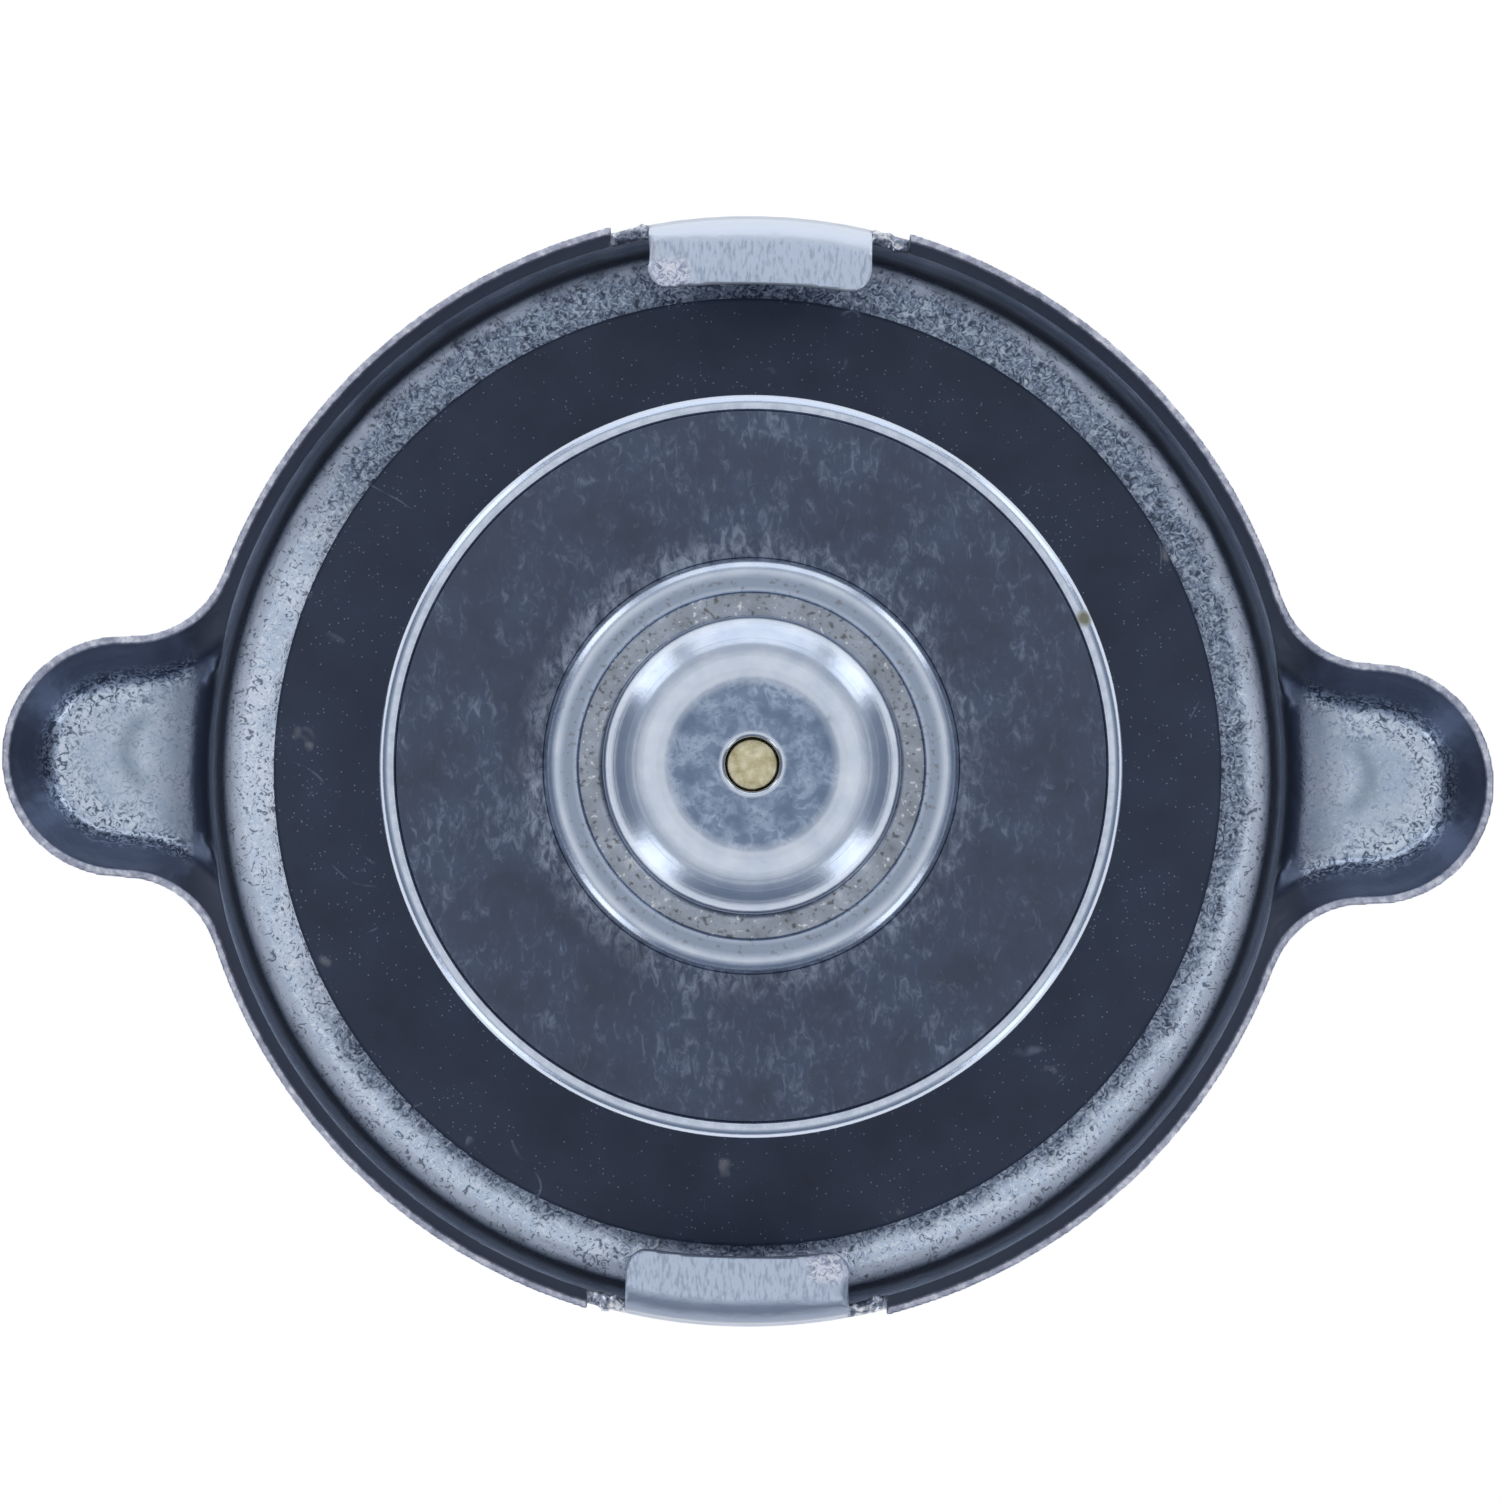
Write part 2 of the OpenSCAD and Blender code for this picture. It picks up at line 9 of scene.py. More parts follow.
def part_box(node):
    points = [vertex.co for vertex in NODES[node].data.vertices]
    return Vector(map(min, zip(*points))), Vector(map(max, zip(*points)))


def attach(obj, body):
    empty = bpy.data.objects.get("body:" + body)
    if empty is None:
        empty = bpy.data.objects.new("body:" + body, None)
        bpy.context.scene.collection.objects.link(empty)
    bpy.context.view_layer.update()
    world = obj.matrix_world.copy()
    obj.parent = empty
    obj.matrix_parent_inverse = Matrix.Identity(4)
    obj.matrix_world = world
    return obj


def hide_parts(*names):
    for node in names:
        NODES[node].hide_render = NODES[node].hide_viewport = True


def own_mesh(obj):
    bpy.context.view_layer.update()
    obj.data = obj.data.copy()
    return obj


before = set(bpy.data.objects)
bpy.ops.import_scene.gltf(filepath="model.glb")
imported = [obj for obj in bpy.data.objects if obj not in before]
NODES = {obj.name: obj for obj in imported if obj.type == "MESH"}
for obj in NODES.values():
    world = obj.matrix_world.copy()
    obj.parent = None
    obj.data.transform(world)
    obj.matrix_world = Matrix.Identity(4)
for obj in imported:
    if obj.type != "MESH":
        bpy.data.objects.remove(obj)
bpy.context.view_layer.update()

MM = 0.001

# Photograph: its pixels, their real size at the rim, where the rim's centre falls, and the cap's turn
IMAGE_PIXELS = 1500
PIXELS_PER_MM = 17.29
RIM_CENTRE_PIXEL = (748.6, 770.3)
IMAGE_TURN = math.radians(1.25)

# Camera: height above the rim, sideways place and sensor, in millimetres
CAMERA_HEIGHT = 400.0
CAMERA_ASIDE = (-3.5, -6.0)
SENSOR = 36.0

# Cover, in millimetres: rim, tabs, notches beside them, middle of the skirt's sheet, panel and its bend
RIM_Z = 9.4
TAB_HALF = 6.45
NOTCH_Z = 7.9
NOTCH_W = 2.2
SKIRT_MIDDLE = 31.85
PANEL_Z = (2.6, 3.4)
BEND_R = 29.95

# Dull plating and painted shade on the panel, in millimetres: its edge, and how much wider it is on the
# far side
DULL_SHADE_R = 29.45
DULL_SHADE_WIDER = 0.9

# Ears, in millimetres: their start, floor and walls, the painted shade at the foot by the skirt, the
# crescent and the tip
EAR_START = (32.6, 33.4)
EAR_FLOOR_Z = (4.9, 6.6)
EAR_BEND_Z = (5.0, 6.9)
EAR_WALL_R = (31.6, 33.4)
FOOT_Z = (3.4, 6.6)
FOOT_START = (30.5, 31.0)
FOOT_END = (32.2, 35.2)
CRESCENT_MIDDLE = (34.3, 0.4, 0)
CRESCENT_R = (1.7, 2.4)
CRESCENT_START = (34.4, 35.6)
TIP_MIDDLE = (36.2, 0, 0)
TIP_R = (2.4, 3.6)
TIP_START = (34.0, 36.0)

# Finish of the tabs and of the torn notches, in millimetres
TAB_Y = (26.0, 27.0)
TAB_Z = (RIM_Z + 1.0, RIM_Z + 1.3)
CRINKLE_ALONG = (-6.1, -4.0)
CRINKLE_Y = (27.4, 29.3)
TORN_Y = (29.8, 30.0)
TORN_Z = (NOTCH_Z - 0.25, NOTCH_Z + 0.8)

# Torn bits in the notches, in millimetres: seed of their draws, number, size and scatter
BIT_SEED = 11
BITS_PER_NOTCH = 10
BIT_SIZE = (0.28, 0.5)
BIT_ASIDE = 0.3
BIT_LIFT = 0.1

# Soft bends of the cover, in millimetres: the ears' roots and the tabs' turned-down ends
ROOT_X = (30.9, 34.2)
ROOT_HALF = 9.8
ROOT_Z = (2.6, 6.4)
END_ALONG = (-6.6, -3.2)
END_Y = (29.0, 30.7)
END_Z = 10.6

# Skin of the cover: voxel in millimetres, passes of smoothing, and the most triangles that it keeps
COVER_VOXEL = 0.14
SMOOTHING = 0.5
EDGE_PASSES = 2
SOFT_PASSES = 80
COVER_TRIANGLES = 185000

# Dome and tube, in millimetres: wall, domed end, collar, bead, breather ports and inner lip
TUBE_WALL = 0.7
DOME_R = 8.2
DOME_H = 5.0
DOME_FLAT_R = 4.9
DOME_LEAN = math.radians(50)
CROWN_R = 3.9
KNUCKLE_R = 1.0
DOME_HOLE_R = 1.5
DOME_FOOT = 0.4
COLLAR_T = 1.2
COLLAR_RING_R = 9.6
COLLAR_RING_H = 0.35
COLLAR_EDGE = 0.15
COLLAR_ROLL = 1.0
BEAD_H = 0.9
BEAD_W = 0.8
PORT_R = 1.5
PORT_COUNT = 4
PORT_DEPTH = 4.0
CATCH_R = 6.4

# Cup, seal, gasket and brass valve, in millimetres: sizes and gaps that the frame doesn't give
CUP_T = 0.95
CUP_BEND = 1.55
CUP_EDGE = 0.675
CUP_LIP = 0.2
RUST_SPOT = (18.3, 8.6, 25.8)
RUST_R = (0.25, 0.6)
LAND_GAP = 0.01
SEAL_SPREAD = 0.08
PRESS_GAP = 0.05
SEAT_GAP = 0.3
TENON_R = 2.0
HUB_R = 2.0
HUB_TOP = 29.2
STEM_R = 1.45
DISC_T = 0.9

# Small roundings of the gasket and of the valve's pieces, in millimetres
GASKET_EDGE = 0.25
RECESS_EDGE = 0.2
RECESS_FOOT = 0.1
SEAL_FOOT = 0.4
SEAL_EDGE = 0.08
LAND_EDGE = 0.05
LAND_FOOT = 0.1
CUP_CORNER = 0.3
CATCH_EDGE = 0.1
COLLAR_UNDER = 0.15
GROOVE_CORNER = 0.1
HOLE_EDGE = 0.25
HOLE_BACK = 0.12
BEAD_FOOT = 0.1
BEAD_TOP = 0.2
DISC_EDGE = 0.12
HUB_EDGE = 0.1
STEM_FOOT = 0.05
STEM_EDGE = 0.15

# Springs, in millimetres and turns
WIRE_D = 2.2
SPRING_TURNS = 4.75
FINE_WIRE_D = 0.45
FINE_TURNS = 5.0
CLOSED_PITCH = 1.15

# Segments of a turned piece, of its roundings, of a port and of one turn of a spring
TURN_STEPS = 192
ARC_STEPS = 5
CUP_ARC_STEPS = 8
DOME_ARC_STEPS = 14
PORT_STEPS = 48
COIL_STEPS = 40
WIRE_STEPS = 4

# Distances in metres within which points merge, and angles up to which faces shade as one
SECTION_MERGE = 1e-7
MERGE = 1e-6
SMOOTH_ANGLE = math.radians(30)
COIL_SMOOTH_ANGLE = math.radians(40)

# Floor: size in metres, its matt grey, its white, and the share of the white that the camera sees
FLOOR_SIZE = 4.0
FLOOR_GREY = 0.9
FLOOR_WHITE = 1.03
FLOOR_SHARE = 0.95

# Lamps of the tent: bearing in degrees, width and height of the panel in metres, and how bright it looks
LAMPS = {
    "back_panel": (90, 0.62, 0.40, 0.85),
    "back_right_lamp": (43, 0.20, 0.40, 1.35),
    "back_left_lamp": (138, 0.20, 0.40, 1.35),
    "front_left_lamp": (225, 0.20, 0.40, 1.35),
    "front_right_lamp": (319, 0.20, 0.40, 1.35),
}
LAMP_DISTANCE = 0.55
LAMP_LIFT = 0.005


def hex_colour(text):
    """Linear colour from an sRGB hex value."""
    parts = [int(text[i:i + 2], 16) / 255 for i in (1, 3, 5)]
    return [c / 12.92 if c <= 0.04045 else ((c + 0.055) / 1.055) ** 2.4 for c in parts] + [1.0]


def per_mm(size):
    """Scale of a pattern whose features have that size in millimetres."""
    return 1.0 / (size * MM)


def add(tree, kind, inputs=None, stops=None, **settings):
    """A node with its settings, its colour stops and its links or values."""
    made = tree.nodes.new(kind)
    for name, value in settings.items():
        setattr(made, name, value)
    for place, colour in stops or []:
        spare = [e for e in made.color_ramp.elements if e.position == place]
        stop = spare[0] if spare else made.color_ramp.elements.new(place)
        stop.color = colour if isinstance(colour, list) else [colour] * 3 + [1.0]
    for name, value in (inputs or {}).items():
        if isinstance(value, bpy.types.NodeSocket):
            tree.links.new(value, made.inputs[name])
        else:
            made.inputs[name].default_value = value
    return made


def new_material(name):
    """Empty material, and the point on the piece that its patterns read."""
    material = bpy.data.materials.new(name)
    material.use_nodes = True
    tree = material.node_tree
    tree.nodes.clear()
    place = add(tree, "ShaderNodeTexCoord").outputs["Object"]
    return material, tree, place


def finish_material(tree, inputs):
    """Puts the surface's shader on the output."""
    shader = add(tree, "ShaderNodeBsdfPrincipled", inputs)
    add(tree, "ShaderNodeOutputMaterial", {"Surface": shader.outputs[0]})


def polar(tree, place):
    """Distance from the axis and the three places, in millimetres."""
    scaled = add(tree, "ShaderNodeVectorMath", {0: place, "Scale": 1 / MM}, operation="SCALE").outputs[0]
    parts = add(tree, "ShaderNodeSeparateXYZ", {0: scaled}).outputs
    flat = add(tree, "ShaderNodeVectorMath", {0: scaled, 1: (1, 1, 0)}, operation="MULTIPLY").outputs[0]
    radius = add(tree, "ShaderNodeVectorMath", {0: flat}, operation="LENGTH").outputs["Value"]
    return radius, parts


def all_of(tree, *shares):
    """Product of several shares from 0 to 1."""
    result = shares[0]
    for share in shares[1:]:
        result = add(tree, "ShaderNodeMath", {0: result, 1: share}, operation="MULTIPLY").outputs[0]
    return result


def band(tree, value, low, high, soft):
    """Share from 0 to 1 of what lies between two values, with soft ends."""
    rise = add(tree, "ShaderNodeMapRange", {0: value, 1: low - soft, 2: low + soft}).outputs[0]
    fall = add(tree, "ShaderNodeMapRange",
               {0: value, 1: high - soft, 2: high + soft, 3: 1.0, 4: 0.0}).outputs[0]
    return all_of(tree, rise, fall)


def from_middle(tree, noise):
    """How far a noise is from its middle value: thin lines lie where that is little."""
    level = add(tree, "ShaderNodeMath", {0: noise, 1: 0.5}, operation="SUBTRACT").outputs[0]
    return add(tree, "ShaderNodeMath", {0: level}, operation="ABSOLUTE").outputs[0]


def layered(tree, colour, rough, layers):
    """Colour and roughness of a surface with layers (share, colour, roughness) laid on in turn."""
    for share, over, over_rough in layers:
        colour = add(tree, "ShaderNodeMix", {0: share, 6: colour, 7: over}, data_type="RGBA").outputs[2]
        rough = add(tree, "ShaderNodeMix", {0: share, 2: rough, 3: over_rough}).outputs[0]
    return colour, rough


def tin_plate():
    """Tin-plated steel sheet, stamped.

    The drawn walls are smooth and grey, with painted shade that darkens them; the flats keep a bright
    plating with short crooked pits. Round the gasket the plating is dull and streaky, with painted shade
    that makes it darker and wider on the far side, and the bend beside it carries a painted highlight. The
    rim is sheared and bare, and the steel in the notches beside the tabs is torn.
    """
    material, tree, place = new_material("tin_plated_steel")
    radius, parts = polar(tree, place)
    x_size = add(tree, "ShaderNodeMath", {0: parts[0]}, operation="ABSOLUTE").outputs[0]
    y_size = add(tree, "ShaderNodeMath", {0: parts[1]}, operation="ABSOLUTE").outputs[0]
    normal = add(tree, "ShaderNodeTexCoord").outputs["Normal"]
    up = add(tree, "ShaderNodeSeparateXYZ", {0: normal}).outputs[2]
    flat = add(tree, "ShaderNodeMapRange", {0: up, 1: 0.72, 2: 0.97}).outputs[0]
    inner_face = add(tree, "ShaderNodeMapRange", {0: up, 1: -0.1, 2: 0.2}).outputs[0]
    low = all_of(
        tree, inner_face,
        add(tree, "ShaderNodeMapRange",
            {0: parts[2], 1: PANEL_Z[0], 2: PANEL_Z[1], 3: 1.0, 4: 0.0}).outputs[0])
    on_ear = add(tree, "ShaderNodeMapRange", {0: radius, 1: EAR_START[0], 2: EAR_START[1]}).outputs[0]

    # Short crooked pits, in patches
    patch = add(tree, "ShaderNodeTexNoise",
                {"Vector": place, "Scale": per_mm(2.4), "Detail": 3.0}).outputs[0]
    grain = add(tree, "ShaderNodeTexNoise",
                {"Vector": place, "Scale": per_mm(0.40), "Detail": 2.0, "Roughness": 0.5,
                 "Distortion": 1.8}).outputs[0]
    limit = add(tree, "ShaderNodeMapRange", {0: patch, 1: 0.35, 2: 0.65, 3: 0.39, 4: 0.47}).outputs[0]
    below = add(tree, "ShaderNodeMath", {0: limit, 1: grain}, operation="SUBTRACT").outputs[0]
    pit = add(tree, "ShaderNodeMapRange", {0: below, 1: 0.0, 2: 0.08, 4: 0.8}).outputs[0]
    pits = all_of(tree, pit, flat)
    sheen = add(tree, "ShaderNodeValToRGB", {0: patch},
                [(0.2, hex_colour("#b4c4dd")), (0.45, hex_colour("#c8d7ee")),
                 (0.8, hex_colour("#e2ecfb"))]).outputs[0]
    gleam = add(tree, "ShaderNodeMapRange", {0: grain, 1: 0.55, 2: 0.68, 4: 0.7}).outputs[0]

    # Dull streaky plating round the gasket, wider on the far side and missing beside the left ear; partly
    # painted shade, its dark sectors standing in for darker reflection
    dull_and_shade_colour = add(tree, "ShaderNodeValToRGB", {0: grain},
                      [(0.36, hex_colour("#4b5566")), (0.50, hex_colour("#7886a0")),
                       (0.63, hex_colour("#a3b3c8"))]).outputs[0]
    sideways = add(tree, "ShaderNodeMath", {0: parts[0], 1: radius}, operation="DIVIDE").outputs[0]
    far = add(tree, "ShaderNodeMath", {0: parts[1], 1: radius}, operation="DIVIDE").outputs[0]
    dull_edge = add(tree, "ShaderNodeMath", {0: far, 1: DULL_SHADE_WIDER, 2: DULL_SHADE_R},
                    operation="MULTIPLY_ADD").outputs[0]
    ragged_edge = add(tree, "ShaderNodeMath", {0: patch, 1: 2.0, 2: dull_edge},
                      operation="MULTIPLY_ADD").outputs[0]
    inside = add(tree, "ShaderNodeMath", {0: ragged_edge, 1: radius}, operation="SUBTRACT").outputs[0]
    dull_and_shade = all_of(
        tree, low, band(tree, sideways, -0.87, 1.1, 0.06),
        add(tree, "ShaderNodeMapRange", {0: inside, 1: 0.6, 2: 1.3, 4: 0.95}).outputs[0])

    # The bend beside the panel: painted highlight, a paler, rougher and less metallic finish that stands
    # in for its bright reflection
    bend_highlight = all_of(tree, low, band(tree, radius, BEND_R - 0.1, BEND_R + 0.8, 0.15))

    # Ears: painted shade on the foot by the skirt, a dull crescent, and pale strokes where the wall meets
    # the floor
    on_floor = all_of(tree, flat, on_ear, band(tree, parts[2], *EAR_FLOOR_Z, 0.2))
    foot_shade = all_of(
        tree, band(tree, parts[2], *FOOT_Z, 0.3), inner_face,
        add(tree, "ShaderNodeMapRange", {0: x_size, 1: FOOT_START[0], 2: FOOT_START[1]}).outputs[0],
        add(tree, "ShaderNodeMapRange",
            {0: x_size, 1: FOOT_END[0], 2: FOOT_END[1], 3: 0.95, 4: 0.0}).outputs[0])
    ear_place = add(tree, "ShaderNodeCombineXYZ", {0: x_size, 1: parts[1]}).outputs[0]
    off_crescent = add(tree, "ShaderNodeVectorMath", {0: ear_place, 1: CRESCENT_MIDDLE},
                       operation="DISTANCE").outputs["Value"]
    crescent = all_of(
        tree, on_floor, band(tree, off_crescent, *CRESCENT_R, 0.5),
        add(tree, "ShaderNodeMapRange",
            {0: x_size, 1: CRESCENT_START[0], 2: CRESCENT_START[1], 4: 0.85}).outputs[0])
    off_tip = add(tree, "ShaderNodeVectorMath", {0: ear_place, 1: TIP_MIDDLE},
                  operation="DISTANCE").outputs["Value"]
    tip_edge = all_of(
        tree, on_floor, add(tree, "ShaderNodeMapRange", {0: off_tip, 1: TIP_R[0], 2: TIP_R[1]}).outputs[0],
        add(tree, "ShaderNodeMapRange", {0: x_size, 1: TIP_START[0], 2: TIP_START[1]}).outputs[0])
    bend_edge = all_of(
        tree, on_ear, band(tree, up, 0.50, 0.95, 0.05), band(tree, parts[2], *EAR_BEND_Z, 0.3))
    border = add(tree, "ShaderNodeMath", {0: tip_edge, 1: bend_edge}, operation="MAXIMUM").outputs[0]
    strokes = all_of(
        tree, border, add(tree, "ShaderNodeMapRange", {0: grain, 1: 0.50, 2: 0.60, 4: 0.85}).outputs[0])
    nicks = all_of(
        tree, border,
        add(tree, "ShaderNodeMapRange", {0: grain, 1: 0.38, 2: 0.47, 3: 0.8, 4: 0.0}).outputs[0])
    dim_floor = add(tree, "ShaderNodeMath", {0: on_floor, 1: 0.4}, operation="MULTIPLY").outputs[0]
    calm = add(tree, "ShaderNodeMapRange", {0: on_floor, 3: 1.0, 4: 0.6}).outputs[0]

    # Inner faces of the lip and of the ears' walls: smooth, with painted shade, a darker colour that
    # stands in for the dark opposite wall and valve that they reflect
    wall_shade = band(tree, up, 0.22, 0.74, 0.08)
    ear_wall = add(tree, "ShaderNodeMapRange", {0: radius, 1: EAR_WALL_R[0], 2: EAR_WALL_R[1]}).outputs[0]
    wall_shade_colour = add(tree, "ShaderNodeMix",
                      {0: ear_wall, 6: hex_colour("#a2abbc"), 7: hex_colour("#6f788d")},
                      data_type="RGBA").outputs[2]

    # Tabs: faint scratches across the flat, painted light that makes the bend paler on the far tab than on
    # the near one, and a crinkled leading end with a painted highlight
    stretched = add(tree, "ShaderNodeMapping",
                    {"Vector": place, "Scale": (per_mm(0.17), per_mm(0.6), per_mm(0.6))}).outputs[0]
    scratch_noise = add(tree, "ShaderNodeTexNoise",
                        {"Vector": stretched, "Scale": 1.0, "Detail": 3.0}).outputs[0]
    on_tab = all_of(
        tree, add(tree, "ShaderNodeMapRange", {0: y_size, 1: TAB_Y[0], 2: TAB_Y[1]}).outputs[0],
        add(tree, "ShaderNodeMapRange", {0: parts[2], 1: TAB_Z[0], 2: TAB_Z[1]}).outputs[0])
    tab_flat = all_of(
        tree, on_tab, add(tree, "ShaderNodeMapRange", {0: up, 1: 0.93, 2: 0.99}).outputs[0])
    scratch = all_of(
        tree, tab_flat,
        add(tree, "ShaderNodeMapRange", {0: scratch_noise, 1: 0.36, 2: 0.52, 3: 0.5, 4: 0.0}).outputs[0])
    side = add(tree, "ShaderNodeMath", {0: parts[1]}, operation="SIGN").outputs[0]
    along = add(tree, "ShaderNodeMath", {0: parts[0], 1: side}, operation="MULTIPLY").outputs[0]
    leading = all_of(
        tree, on_tab, band(tree, along, *CRINKLE_ALONG, 0.3), band(tree, y_size, *CRINKLE_Y, 0.3))
    tab_colour = add(tree, "ShaderNodeMix",
                     {0: scratch, 6: hex_colour("#c9d7ed"), 7: hex_colour("#8794ad")},
                     data_type="RGBA").outputs[2]
    # Painted light: the tabs' bends are paler on the far side and darker on the near side
    far_tab_light = add(tree, "ShaderNodeMapRange", {0: parts[1], 1: -1.0, 2: 1.0}).outputs[0]
    lit_and_shaded_bend_colour = add(tree, "ShaderNodeMix",
                      {0: far_tab_light, 6: hex_colour("#a0acc2"), 7: hex_colour("#dfe8f6")},
                      data_type="RGBA").outputs[2]
    # Crinkled leading end with a painted highlight: a paler colour that stands in for the brighter
    # reflection of the turned-down end
    crinkle_and_highlight_colour = add(tree, "ShaderNodeValToRGB", {0: grain},
                         [(0.40, hex_colour("#a9b3cd")), (0.56, hex_colour("#e8edfc"))]).outputs[0]
    no_pits = add(tree, "ShaderNodeMath", {0: 1.0, 1: on_tab}, operation="SUBTRACT").outputs[0]
    pits = all_of(tree, pits, no_pits, calm)

    # Sheared rim and torn notches
    beside_tab = add(tree, "ShaderNodeMapRange",
                     {0: x_size, 1: TAB_HALF + 0.05, 2: TAB_HALF + 0.15}).outputs[0]
    sheared = all_of(tree, beside_tab, band(tree, parts[2], RIM_Z - 0.10, RIM_Z + 0.3, 0.05))
    edge_noise = add(tree, "ShaderNodeTexNoise",
                     {"Vector": place, "Scale": per_mm(0.7), "Detail": 4.0, "Roughness": 0.7}).outputs[0]
    edge_colour = add(tree, "ShaderNodeValToRGB", {0: edge_noise},
                      [(0.30, hex_colour("#8a90a4")), (0.50, hex_colour("#b3b8cb")),
                       (0.70, hex_colour("#e6e9f4"))]).outputs[0]
    torn = all_of(
        tree, band(tree, x_size, TAB_HALF, TAB_HALF + NOTCH_W + 0.1, 0.06),
        add(tree, "ShaderNodeMapRange", {0: y_size, 1: TORN_Y[0], 2: TORN_Y[1]}).outputs[0],
        band(tree, parts[2], *TORN_Z, 0.1))
    torn_colour = add(tree, "ShaderNodeValToRGB", {0: edge_noise},
                      [(0.32, hex_colour("#4b5262")), (0.48, hex_colour("#939cae")),
                       (0.62, hex_colour("#f4f6fb"))]).outputs[0]

    colour, rough = layered(tree, sheen, 0.26, [
        (gleam, hex_colour("#edf3fd"), 0.24), (bend_highlight, hex_colour("#d9e5f8"), 0.45),
        (pits, hex_colour("#566176"), 0.36), (dull_and_shade, dull_and_shade_colour, 0.34),
        (dim_floor, hex_colour("#8495b0"), 0.34), (crescent, hex_colour("#7c8ea1"), 0.34),
        (wall_shade, wall_shade_colour, 0.30),
        (foot_shade, hex_colour("#59647b"), 0.36), (strokes, hex_colour("#d3dfef"), 0.34),
        (nicks, hex_colour("#434c5d"), 0.36), (on_tab, lit_and_shaded_bend_colour, 0.36),
        (tab_flat, tab_colour, 0.34), (leading, crinkle_and_highlight_colour, 0.30),
        (torn, torn_colour, 0.30), (sheared, edge_colour, 0.42)])
    bare = add(tree, "ShaderNodeMapRange", {0: up, 1: 0.3, 2: 0.8, 3: 0.72, 4: 1.0}).outputs[0]
    metal = add(tree, "ShaderNodeMix", {0: bend_highlight, 2: bare, 3: 0.65}).outputs[0]
    metal = add(tree, "ShaderNodeMix", {0: on_tab, 2: metal, 3: 0.6}).outputs[0]
    wave = add(tree, "ShaderNodeBump",
               {"Strength": 0.6, "Distance": 0.25 * MM, "Height": patch}).outputs[0]
    crinkle = add(tree, "ShaderNodeMath", {0: grain, 1: leading}, operation="MULTIPLY").outputs[0]
    uneven = add(tree, "ShaderNodeMath", {0: grain, 1: flat, 2: crinkle},
                 operation="MULTIPLY_ADD").outputs[0]
    bump = add(tree, "ShaderNodeBump",
               {"Strength": 0.6, "Distance": 0.045 * MM, "Height": uneven, "Normal": wave}).outputs[0]
    finish_material(tree, {"Base Color": colour, "Metallic": metal, "Roughness": rough, "Normal": bump})
    return material


